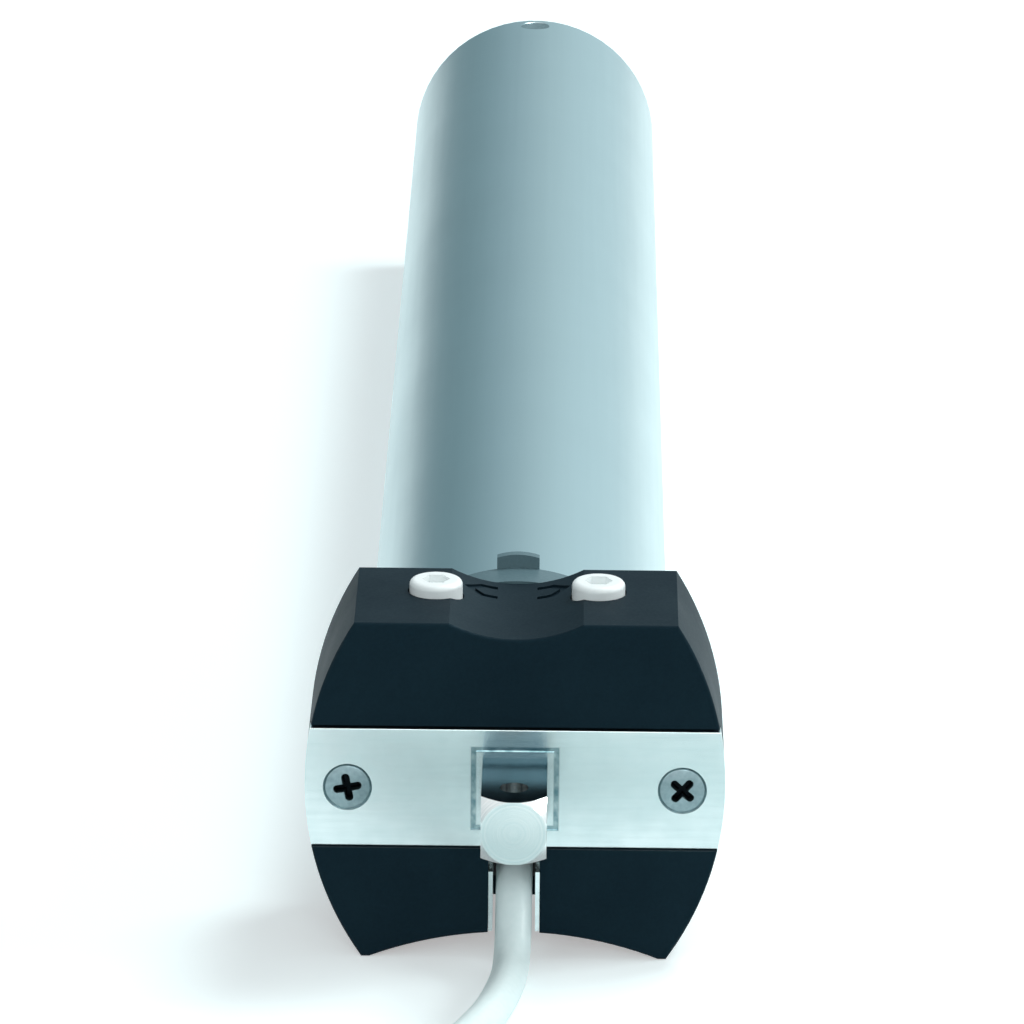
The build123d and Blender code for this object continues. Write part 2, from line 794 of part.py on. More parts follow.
def make_windings():
    """Copper windings: a bar in each slot and a ring of end turns at each end."""
    bar_radius = slot_radius - winding_play
    bar = rod(stator_start - face_gap, stator_end + face_gap, bar_radius, x=slot_centre_radius)
    outer, inner = winding_outer_share * tube_bore_radius, winding_inner_share * tube_bore_radius
    front = ring(stator_start - winding_reach, stator_start - face_gap / 2, outer, inner)
    rear = ring(stator_end + face_gap / 2, stator_end + winding_reach, outer, inner)
    return front.fuse(rear, *around_axis(bar, stator_slots))


def make_rotor_core():
    """Laminated rotor on the shaft."""
    return ring(stator_start, stator_end, stator_bore_radius - air_gap, rotor_shaft_radius)


def sun_range(stage):
    """Start and end of a stage's sun gear along the axis."""
    spare = stage_pitch - planet_width - carrier_thickness - face_gap
    start = ring_gear_start + stage * stage_pitch + spare / 2
    return start, start + planet_width


def make_rotor_shaft():
    """Shaft of the rotor, which ends in the first sun gear."""
    start, end = sun_range(0)
    body = rod(shield_front_start - shaft_tail, start, rotor_shaft_radius)
    return body + along_y(outer_gear(sun_teeth, gear_module), start - face_gap, end)


def make_gear_flange():
    """Cover between the brake and the gearbox."""
    bore = gear_module * (sun_teeth / 2 + tip_share) + face_gap
    return ring(flange_start, ring_gear_start, seat_radius, bore)


def make_brake_lining():
    """Friction ring on the flange."""
    outer, inner = lining_outer_share * tube_bore_radius, lining_inner_share * tube_bore_radius
    return ring(lining_start, flange_start, outer, inner)


def make_brake_disc():
    """Armature disc of the brake, free to slide on the rotor shaft."""
    outer, bore = brake_disc_share * tube_bore_radius, rotor_shaft_radius + running_play
    return ring(brake_disc_start, brake_disc_start + brake_disc_thickness, outer, bore)


def make_brake_spring():
    """Dished spring on the shaft between the rear bush and the brake disc."""
    inner = rotor_shaft_radius + seat_play
    start = shield_rear_end + face_gap
    rise = brake_spring_height - brake_spring_thickness - face_gap * 2
    outline = [
        (inner, start),
        (brake_spring_radius, start + rise),
        (brake_spring_radius, start + rise + brake_spring_thickness),
        (inner, start + brake_spring_thickness),
        (inner, start),
    ]
    return revolve(make_face(Polyline(*outline)), Axis.Y)


def make_ring_gear():
    """Ring gear that all stages share."""
    body = rod(ring_gear_start, end_cover_start, seat_radius)
    teeth = inner_gear(ring_teeth, gear_module)
    return body - along_y(teeth, ring_gear_start - cut_overrun, end_cover_start + cut_overrun)


def make_planet(stage, number):
    """One planet gear with its bore."""
    start, end = sun_range(stage)
    face = outer_gear(planet_teeth, gear_module) - Circle(planet_pin_radius + running_play)
    top = along_y(Pos(0, planet_orbit) * face, start, end)
    return Rot(0, -number * 360 / planets_per_stage, 0) * top


def make_planet_pins(stage):
    """The steel pins of one stage."""
    start, end = sun_range(stage)
    pin = rod(start, end + face_gap + carrier_thickness, planet_pin_radius, z=planet_orbit)
    return around_axis(pin, planets_per_stage)


def carrier_plate(stage):
    """Round plate of a planet carrier with the holes of its pins."""
    start = sun_range(stage)[1] + face_gap
    end = start + carrier_thickness
    body = rod(start, end, planet_orbit + carrier_rim)
    hole = rod(start - cut_overrun, end + cut_overrun, planet_pin_radius, z=planet_orbit)
    return body.cut(*around_axis(hole, planets_per_stage))


def make_carrier(stage):
    """Planet carrier with the next stage's sun gear."""
    plate_end = sun_range(stage)[1] + face_gap + carrier_thickness
    sun = along_y(outer_gear(sun_teeth, gear_module), plate_end, sun_range(stage + 1)[1])
    return carrier_plate(stage) + sun


def make_output_shaft():
    """Last carrier with the output shaft, its square end, groove and threaded hole."""
    last = stage_count - 1
    plate_end = sun_range(last)[1] + face_gap + carrier_thickness
    neck_end = tube_end + output_neck_length
    square_end = neck_end + output_square_length
    body = carrier_plate(last) + rod(plate_end, neck_end, output_journal_radius)
    body += along_y(Rectangle(output_square, output_square), neck_end, square_end)
    groove_start = square_end - circlip_inset - circlip_thickness
    body -= ring(groove_start, groove_start + circlip_thickness, output_square, circlip_groove_radius)
    return body - rod(square_end - output_hole_depth, square_end + cut_overrun, output_hole_radius)


def make_circlip():
    """Open spring ring in the groove of the output shaft."""
    square_end = tube_end + output_neck_length + output_square_length
    start = square_end - circlip_inset - circlip_thickness + seat_play
    end = start + circlip_thickness - 2 * seat_play
    body = ring(start, end, circlip_outer_radius, circlip_groove_radius + seat_play)
    half_mouth = circlip_mouth / 2
    y_range = (start - cut_overrun, end + cut_overrun)
    return body - block((-half_mouth, half_mouth), y_range, (0, 2 * circlip_outer_radius))


def make_output_bush():
    """Bush of the output shaft in the end cover."""
    return ring(end_cover_start, tube_end, output_bush_radius, output_journal_radius + running_play)


def make_end_cover():
    """Cast cover that closes the tube's far end."""
    body = ring(end_cover_start, tube_end, seat_radius, output_bush_radius)
    return body.cut(*[screw_clearance(screw) for screw in rear_tube_screws()])


def cable_points():
    """Centre line of the free cable, from the grommet down to the floor and to the coil."""
    points = [(0, grommet_start, -cable_height), (0, slope_start, -cable_height),
              (0, slope_end, cable_floor_height)]
    points += [(x, y, cable_floor_height) for x, y in bend_points]
    return points + [(*coil_entry, cable_floor_height)]


def corner_radii(points):
    """Radius of the arc at each inner point of a route, from a share of the shorter run beside it."""
    radii = []
    for before, here, after in zip(points, points[1:], points[2:]):
        first, second = Vector(here) - Vector(before), Vector(after) - Vector(here)
        half_turn = radians(first.get_angle(second)) / 2
        radii.append(run_share * min(first.length, second.length) / tan(half_turn))
    return radii


def tube_on(path, radius, start, direction):
    """Round solid swept along a path."""
    return sweep(Plane(origin=start, z_dir=direction) * Circle(radius), path=path)


def routed_tube(name, points, radius):
    """Tube on straight runs and tangent arcs; prints its radii and its volume check."""
    radii = corner_radii(points)
    path = FilletPolyline(*points, radius=radii)
    body = tube_on(path, radius, points[0], Vector(points[1]) - Vector(points[0]))
    expected = pi * radius**2 * path.length
    ratio = round(body.volume / expected, 4)
    print(name, "radii", [round(value, 1) for value in radii], "volume ratio", ratio)
    return body


def make_cable():
    """Free stretch of the cable."""
    return routed_tube("cable", cable_points(), cable_radius)


def coil_edges():
    """Edges of the coil: a lead-in, a spiral in, a climb, a spiral out and a lead-out."""
    x, y = coil_entry
    diameter = 2 * cable_radius
    height = cable_floor_height
    radius = coil_inner_radius + coil_half_turns * coil_pitch / 2
    edges = [Line((x, y, height), (x, y - diameter, height))]
    y -= diameter
    side = 1

    def half_turn(start_x, arc_radius, direction, level):
        middle = (start_x + direction * arc_radius, y - direction * arc_radius, level)
        far = (start_x + direction * 2 * arc_radius, y, level)
        return ThreePointArc((start_x, y, level), middle, far)

    for _ in range(coil_half_turns):
        edges.append(half_turn(x, radius, side, height))
        x += side * 2 * radius
        radius -= coil_pitch / 2
        side = -side
    start, end = Vector(x, y, height), Vector(x + side * 2 * radius, y, height + coil_layer_rise)
    leaving = Vector(0, -side, 0)
    reach = (end - start).length / 2
    joint = (start + end) / 2 + leaving * reach
    edges.append(TangentArc(start, joint, tangent=leaving))
    edges.append(TangentArc(joint, end, tangent=end - start))
    x, height, side = end.X, end.Z, -side
    radius += coil_pitch / 2
    for _ in range(coil_half_turns):
        edges.append(half_turn(x, radius, side, height))
        x += side * 2 * radius
        radius += coil_pitch / 2
        side = -side
    edges.append(Line((x, y, height), (x, y + diameter, height)))
    return edges


def print_least_gap(edges):
    """Print the coil's least gap to itself, measured on points of its centre line."""
    samples = 40
    points = []
    travelled = 0
    for edge in edges:
        for step in range(samples):
            share = step / samples
            points.append((travelled + edge.length * share, edge @ share))
        travelled += edge.length
    apart = 3 * pi * cable_radius
    gaps = [(here - there).length for at, here in points for then, there in points if then - at > apart]
    least = round(min(gaps) - 2 * cable_radius, 2)
    print("cable_coil loops", coil_half_turns + 0.5, "least gap to itself", least)


def make_cable_coil():
    """Put-away length of the cable as one wound tube in two layers, flat where it lies."""
    edges = coil_edges()
    print_least_gap(edges)
    path = Wire(edges)
    body = tube_on(path, cable_radius, edges[0] @ 0, edges[0] % 0)
    print("cable_coil volume ratio", round(body.volume / (pi * cable_radius**2 * path.length), 4))
    return body


def coil_end():
    """Middle of the cable's end face."""
    last = coil_edges()[-1] @ 1
    return last.X, last.Y, last.Z


def core_route(number):
    """Centre line of one core, from the jacket's end to its own place on the floor."""
    x, y, z = coil_end()
    angle = radians(core_first_angle + number * 360 / core_count)
    side, rise = core_circle_radius * cos(angle), core_circle_radius * sin(angle)
    lane = (number - (core_count - 1) / 2) * core_spread_share * 2 * core_radius
    low = floor_height + ferrule_radius + seat_play
    points = [(x + side, y, z + rise)]
    for along, across, down in core_route_shares:
        left = 1 - down
        height = (z + rise) * left + low * down
        points.append((x + side * left + lane * across, y + core_length * along, height))
    return points


def make_core(number):
    """One insulated core of the stripped end."""
    return routed_tube(f"core {number}", core_route(number), core_radius)


def make_ferrules():
    """Crimped ferrules on the ends of the cores."""
    ferrules = []
    for number in range(core_count):
        route = core_route(number)
        end = Vector(route[-1])
        end_plane = Plane(origin=end, z_dir=end - Vector(route[-2]))
        ferrules.append(extrude(end_plane * Circle(ferrule_radius), amount=ferrule_length))
    return ferrules


def all_parts():
    """Every sub-part by its node name."""
    parts = {
        "head_housing": make_head_housing(),
        "spigot": make_spigot(),
        "spigot_screws": make_spigot_screws(),
        "front_plate": make_front_plate(),
        "square_pin": make_square_pin(),
        "plate_screws": make_plate_screws(),
        "adjuster_left": make_adjuster(-1),
        "adjuster_right": make_adjuster(1),
        "set_wheel_left": make_set_wheel(-1),
        "set_wheel_right": make_set_wheel(1),
        "limit_frame": make_limit_frame(),
        "switch_left": make_switch(-1),
        "switch_right": make_switch(1),
        "crown_ring": make_crown_ring(),
        "limit_pinion": make_limit_pinion(),
        "cam_wheel": make_cam_wheel(),
        "cable_clip": make_cable_clip(),
        "cable_grommet": make_cable_grommet(),
        "terminal_block": make_terminal_block(),
        "motor_tube": make_motor_tube(),
        "tube_screws": make_tube_screws(),
        "capacitor": make_capacitor(),
        "capacitor_sleeve": make_capacitor_sleeve(),
        "motor_shield_front": make_shield(shield_front_start, shield_front_end),
        "stator_core": make_stator_core(),
        "windings": make_windings(),
        "rotor_core": make_rotor_core(),
        "rotor_shaft": make_rotor_shaft(),
        "motor_shield_rear": make_shield(shield_rear_start, shield_rear_end),
        "rotor_bushes": make_rotor_bushes(),
        "brake_spring": make_brake_spring(),
        "brake_disc": make_brake_disc(),
        "brake_lining": make_brake_lining(),
        "gear_flange": make_gear_flange(),
        "ring_gear": make_ring_gear(),
        "carrier_1": make_carrier(0),
        "carrier_2": make_carrier(1),
        "output_shaft": make_output_shaft(),
        "output_bush": make_output_bush(),
        "end_cover": make_end_cover(),
        "circlip": make_circlip(),
        "cable": make_cable(),
        "cable_coil": make_cable_coil(),
        "ferrules": make_ferrules(),
    }
    for stage in range(stage_count):
        parts[f"planet_pins_{stage + 1}"] = make_planet_pins(stage)
        for number in range(planets_per_stage):
            parts[f"planet_{stage + 1}_{number + 1}"] = make_planet(stage, number)
    for number, colour in enumerate(("brown", "blue", "black", "earth")):
        parts[f"core_{colour}"] = make_core(number)
    return parts


def main():
    """Write one STEP file for each sub-part."""
    os.makedirs("parts", exist_ok=True)
    for name, shape in all_parts().items():
        solids = shape if isinstance(shape, list) else [shape]
        whole = Compound(children=[solid for item in solids for solid in item.solids()])
        export_step(whole, f"parts/{name}.step")


main()
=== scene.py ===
"""The looks of a tubular roller blind motor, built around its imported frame, in metres.

The head faces -Y with its foot on the floor, and the motor tube runs back along +Y.
"""

import json
import logging
import math
from dataclasses import dataclass, field
from enum import Enum
from typing import Sequence

import bmesh
import bpy
from mathutils import Euler, Matrix, Vector

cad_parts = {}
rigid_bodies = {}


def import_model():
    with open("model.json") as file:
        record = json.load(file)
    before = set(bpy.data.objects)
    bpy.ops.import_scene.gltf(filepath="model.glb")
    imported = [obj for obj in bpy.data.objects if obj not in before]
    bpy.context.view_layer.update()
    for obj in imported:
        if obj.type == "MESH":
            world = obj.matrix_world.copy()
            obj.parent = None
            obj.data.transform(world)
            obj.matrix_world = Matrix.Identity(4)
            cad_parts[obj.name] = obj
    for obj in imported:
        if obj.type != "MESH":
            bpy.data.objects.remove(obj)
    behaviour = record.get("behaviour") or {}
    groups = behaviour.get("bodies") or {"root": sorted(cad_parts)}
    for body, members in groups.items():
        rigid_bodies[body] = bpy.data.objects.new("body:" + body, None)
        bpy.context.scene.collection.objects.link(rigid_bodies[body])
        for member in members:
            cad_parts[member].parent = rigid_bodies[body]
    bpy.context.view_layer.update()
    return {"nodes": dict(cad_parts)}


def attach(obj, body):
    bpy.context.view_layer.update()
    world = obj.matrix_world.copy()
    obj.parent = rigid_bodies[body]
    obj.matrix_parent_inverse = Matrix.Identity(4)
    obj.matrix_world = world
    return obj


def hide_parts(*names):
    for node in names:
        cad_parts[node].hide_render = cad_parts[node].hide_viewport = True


log = logging.getLogger("blind_motor")

MM = 0.001

Point = tuple[float, float, float]
Colour = tuple[float, float, float]
Shade = tuple[float, float, float, float]

EVENLY: Point = (1.0, 1.0, 1.0)
WHITE: Shade = (1.0, 1.0, 1.0, 1.0)
CORE_COLOURS = ("brown", "blue", "black", "earth")
LEAD_LENGTH = 1.983

SOFT_DETAIL = 2.0
FINE_DETAIL = 3.0
PATCH_DETAIL = 4.0


class Pattern(Enum):
    """How the surface of a finish varies over a piece."""

    MOULDED = "moulded"
    TURNED = "turned"
    DRAWN = "drawn"
    ROLLED = "rolled"
    CAST = "cast"
    STACKED = "stacked"
    WOUND = "wound"
    EXTRUDED = "extruded"


STRETCHES: dict[Pattern, Point] = {Pattern.DRAWN: (1.0, 0.02, 1.0), Pattern.ROLLED: (0.06, 1.0, 1.0)}


def linear(colour: Colour) -> Shade:
    """Turns a screen colour into the linear one that a shader takes.

    Args:
        colour: Red, green and blue on screen, from 0 to 1.

    Returns:
        The linear colour with full opacity.
    """
    parts = [c / 12.92 if c <= 0.04045 else ((c + 0.055) / 1.055) ** 2.4 for c in colour]
    return (parts[0], parts[1], parts[2], 1.0)


class NodeSheet:
    """A node tree, with short calls that place and join its nodes."""

    def __init__(self, tree: bpy.types.NodeTree) -> None:
        """Takes the tree that it works on.

        Args:
            tree: The node tree.
        """
        self.tree = tree

    def add(self, kind: str, **settings: object) -> bpy.types.Node:
        """Adds a node and sets its properties.

        Args:
            kind: The node's type name.
            **settings: Properties of the node by name.

        Returns:
            The new node.
        """
        node = self.tree.nodes.new(kind)
        for key, value in settings.items():
            setattr(node, key, value)
        return node

    def join(self, source: bpy.types.NodeSocket, target: bpy.types.NodeSocket) -> None:
        """Links one socket to another."""
        self.tree.links.new(source, target)

    def object_point(self, stretch: Point) -> bpy.types.NodeSocket:
        """Gives the surface point in metres, stretched along each axis.

        Args:
            stretch: The factor along X, Y and Z.

        Returns:
            The socket of the stretched point.
        """
        place = self.add("ShaderNodeTexCoord")
        mapping = self.add("ShaderNodeMapping")
        mapping.inputs["Scale"].default_value = stretch
        self.join(place.outputs["Object"], mapping.inputs["Vector"])
        return mapping.outputs["Vector"]

    def noise(self, point: bpy.types.NodeSocket, scale: float, detail: float) -> bpy.types.NodeSocket:
        """Adds a noise field.

        Args:
            point: Where the noise is read.
            scale: Its frequency, in cycles per unit of the point.
            detail: The number of finer octaves.

        Returns:
            The socket of the noise value.
        """
        noise = self.add("ShaderNodeTexNoise")
        noise.inputs["Scale"].default_value = scale
        noise.inputs["Detail"].default_value = detail
        self.join(point, noise.inputs["Vector"])
        return noise.outputs["Fac"]

    def remap(
        self, value: bpy.types.NodeSocket, low: float, high: float, start: float = 0.3, end: float = 0.7
    ) -> bpy.types.NodeSocket:
        """Maps a field from one range to another.

        Args:
            value: The field.
            low: What its low end becomes.
            high: What its high end becomes.
            start: The low end of the field.
            end: The high end of the field.

        Returns:
            The socket of the mapped value.
        """
        mapped = self.add("ShaderNodeMapRange")
        mapped.inputs["From Min"].default_value = start
        mapped.inputs["From Max"].default_value = end
        mapped.inputs["To Min"].default_value = low
        mapped.inputs["To Max"].default_value = high
        self.join(value, mapped.inputs["Value"])
        return mapped.outputs["Result"]

    def maths(self, operation: str, *values: object) -> bpy.types.NodeSocket:
        """Adds a maths node on sockets or plain numbers.

        Args:
            operation: The node's operation.
            *values: The sockets or numbers that it works on.

        Returns:
            The socket of the result.
        """
        node = self.add("ShaderNodeMath", operation=operation)
        for index, value in enumerate(values):
            if isinstance(value, bpy.types.NodeSocket):
                self.join(value, node.inputs[index])
            else:
                node.inputs[index].default_value = value
        return node.outputs[0]

    def split(self, vector: bpy.types.NodeSocket) -> bpy.types.NodeOutputs:
        """Gives the X, Y and Z of a vector as sockets."""
        parts = self.add("ShaderNodeSeparateXYZ")
        self.join(vector, parts.inputs[0])
        return parts.outputs

    def blend(self, share: bpy.types.NodeSocket, first: object, second: object) -> bpy.types.NodeSocket:
        """Mixes two colours.

        Args:
            share: How much of the second colour shows.
            first: The first colour, as a socket or a linear colour.
            second: The second colour, as a socket or a linear colour.

        Returns:
            The socket of the mixed colour.
        """
        mix = self.add("ShaderNodeMix", data_type="RGBA")
        self.join(share, mix.inputs["Factor"])
        for label, colour in (("A", first), ("B", second)):
            if isinstance(colour, bpy.types.NodeSocket):
                self.join(colour, mix.inputs[label])
            else:
                mix.inputs[label].default_value = colour
        return mix.outputs["Result"]

    def ramp(self, value: bpy.types.NodeSocket, stops: Sequence[tuple[float, Shade]]) -> bpy.types.NodeSocket:
        """Turns a field into colours.

        Args:
            value: The field.
            stops: The places on the ramp, from low to high, each with its linear colour.

        Returns:
            The socket of the colour.
        """
        ramp = self.add("ShaderNodeValToRGB")
        elements = ramp.color_ramp.elements
        elements[0].position, elements[0].color = stops[0]
        elements[1].position, elements[1].color = stops[-1]
        for position, colour in stops[1:-1]:
            elements.new(position).color = colour
        self.join(value, ramp.inputs["Fac"])
        return ramp.outputs["Color"]

    def seen(self) -> bpy.types.NodeSocket:
        """Gives 1 for the rays of the camera, of gloss and of glass, and 0 for the rest."""
        rays = self.add("ShaderNodeLightPath").outputs
        seen = self.maths("MAXIMUM", rays["Is Camera Ray"], rays["Is Glossy Ray"])
        return self.maths("MAXIMUM", seen, rays["Is Transmission Ray"])


class MaterialSheet(NodeSheet):
    """The node tree of a new material."""

    def __init__(self, name: str) -> None:
        """Starts the material with a principled shader.

        Args:
            name: The material's name.
        """
        self.material = bpy.data.materials.new(name)
        self.material.use_nodes = True
        super().__init__(self.material.node_tree)
        self.shader = self.tree.nodes["Principled BSDF"]


@dataclass(frozen=True)
class Finish:
    """A surface finish: two shades of one colour, its gloss, and the marks of how it was made."""

    slot: str
    colour: Colour
    shade: Colour
    roughness: float
    metallic: float = 0.0
    pattern: Pattern = Pattern.MOULDED
    spread: float = 0.08
    grain: float = 1500.0
    relief: float = 0.15
    patch: float = 60.0
    coat: float = 0.0
    specular: float = 0.5
    sheen: Colour = (1.0, 1.0, 1.0)
    coat_roughness: float = 0.12
    patch_share: float = 0.6
    shade_up_to: float = 0.36
    colour_from: float = 0.62
    relief_depth: float = 0.05 * MM

    def stretch(self) -> Point:
        """Gives the factors by which the marks run along an axis."""
        return STRETCHES.get(self.pattern, EVENLY)

    def marks(self, sheet: NodeSheet) -> bpy.types.NodeSocket:
        """Builds the field of the fine marks.

        Args:
            sheet: The material's node tree.

        Returns:
            The socket of the field, from 0 to 1.
        """
        point = sheet.object_point(self.stretch())
        if self.pattern in (Pattern.TURNED, Pattern.STACKED, Pattern.WOUND):
            parts = sheet.split(point)
            across = sheet.maths("POWER", parts["X"], 2.0)
            upward = sheet.maths("POWER", parts["Z"], 2.0)
            radius = sheet.maths("SQRT", sheet.maths("ADD", across, upward))
            along = parts["Y"] if self.pattern is Pattern.STACKED else radius
            rings = sheet.add("ShaderNodeTexNoise", noise_dimensions="1D")
            rings.inputs["Scale"].default_value = self.grain
            rings.inputs["Detail"].default_value = SOFT_DETAIL
            sheet.join(along, rings.inputs["W"])
            return rings.outputs["Fac"]
        return sheet.noise(point, self.grain, FINE_DETAIL)

    def tone(self, sheet: NodeSheet, colour: bpy.types.NodeSocket) -> bpy.types.NodeSocket:
        """Gives the final colour; a plain finish leaves it as it is."""
        return colour

    def build(self) -> bpy.types.Material:
        """Makes the finish's material.

        Returns:
            The material, with its colour, gloss and relief from nodes.
        """
        sheet = MaterialSheet(f"finish_{self.slot}")
        shader = sheet.shader
        shader.inputs["Metallic"].default_value = self.metallic
        shader.inputs["Coat Weight"].default_value = self.coat
        shader.inputs["Coat Roughness"].default_value = self.coat_roughness
        shader.inputs["Specular IOR Level"].default_value = self.specular
        shader.inputs["Specular Tint"].default_value = (*self.sheen, 1.0)
        patches = sheet.noise(sheet.object_point(EVENLY), self.patch, PATCH_DETAIL)
        marks = self.marks(sheet)
        large = sheet.maths("MULTIPLY", patches, self.patch_share)
        both = sheet.maths("ADD", large, sheet.maths("MULTIPLY", marks, 1.0 - self.patch_share))
        stops = ((self.shade_up_to, linear(self.shade)), (self.colour_from, linear(self.colour)))
        sheet.join(self.tone(sheet, sheet.ramp(both, stops)), shader.inputs["Base Color"])
        gloss = sheet.remap(both, self.roughness + self.spread, self.roughness - self.spread)
        sheet.join(gloss, shader.inputs["Roughness"])
        bump = sheet.add("ShaderNodeBump")
        bump.inputs["Strength"].default_value = self.relief
        bump.inputs["Distance"].default_value = self.relief_depth
        sheet.join(marks, bump.inputs["Height"])
        sheet.join(bump.outputs["Normal"], shader.inputs["Normal"])
        return sheet.material


@dataclass(frozen=True)
class TurnedFinish(Finish):
    """Turned steel with a painted dark reflection on the faces that don't look along the axis; the end faces
    keep the bright colour.
    """

    # painted reflection: the dark colour painted on the flats and side faces
    flat: Colour = (0.33, 0.4, 0.43)
    flat_up_to: float = 0.1
    turned_from: float = 0.5

    def tone(self, sheet: NodeSheet, colour: bpy.types.NodeSocket) -> bpy.types.NodeSocket:
        """Paints a dark reflection onto the faces that don't look along the axis.

        Args:
            sheet: The material's node tree.
            colour: The colour of the turned faces.

        Returns:
            The socket of the final colour.
        """
        parts = sheet.split(sheet.add("ShaderNodeTexCoord").outputs["Normal"])
        along = sheet.maths("ABSOLUTE", parts["Y"])
        facing = sheet.remap(along, 0.0, 1.0, self.flat_up_to, self.turned_from)
        # painted reflection: faces that don't look along the axis blend towards the dark flat colour
        return sheet.blend(facing, linear(self.flat), colour)


@dataclass(frozen=True)
class StakedFinish(Finish):
    """Zinc-plated steel, darker in a square band along the frame that is staked round the pin."""

    frame_inside: float = 7.15 * MM
    frame_outside: float = 8.15 * MM
    frame_edge: float = 0.15 * MM
    # the darker colour of the square band along the staked frame
    frame_band_colour: Colour = (0.42, 0.55, 0.58)
    least_band_share: float = 0.45
    band_noise_grain: float = 700.0

    def tone(self, sheet: NodeSheet, colour: bpy.types.NodeSocket) -> bpy.types.NodeSocket:
        """Darkens the colour in a square band round the motor's axis.

        Args:
            sheet: The material's node tree.
            colour: The colour of the plated face.

        Returns:
            The socket of the final colour.
        """
        point = sheet.object_point(EVENLY)
        parts = sheet.split(point)
        across, upward = (sheet.maths("ABSOLUTE", parts[axis]) for axis in ("X", "Z"))
        square = sheet.maths("MAXIMUM", across, upward)
        inside, outside, edge = self.frame_inside, self.frame_outside, self.frame_edge
        past_inside = sheet.remap(square, 0.0, 1.0, inside - edge, inside + edge)
        past_outside = sheet.remap(square, 1.0, 0.0, outside - edge, outside + edge)
        band_noise = sheet.remap(sheet.noise(point, self.band_noise_grain, FINE_DETAIL), self.least_band_share, 1.0)
        # darker in the square band, varied by noise
        band = sheet.maths("MULTIPLY", sheet.maths("MULTIPLY", past_inside, past_outside), band_noise)
        return sheet.blend(band, colour, linear(self.frame_band_colour))


@dataclass(frozen=True)
class RecessedFinish(Finish):
    """Screw steel with painted shade that darkens with the depth of the driver's recess."""

    painted_recess_shade: Colour = (0.05, 0.065, 0.075)

    def tone(self, sheet: NodeSheet, colour: bpy.types.NodeSocket) -> bpy.types.NodeSocket:
        """Paints shade into the colour by the mesh's own recess attribute.

        Args:
            sheet: The material's node tree.
            colour: The colour of the head's face.

        Returns:
            The socket of the final colour.
        """
        depth = sheet.add("ShaderNodeAttribute", attribute_name="recess")
        # painted shade: the deeper in the recess, the nearer to the dark colour
        return sheet.blend(depth.outputs["Fac"], colour, linear(self.painted_recess_shade))


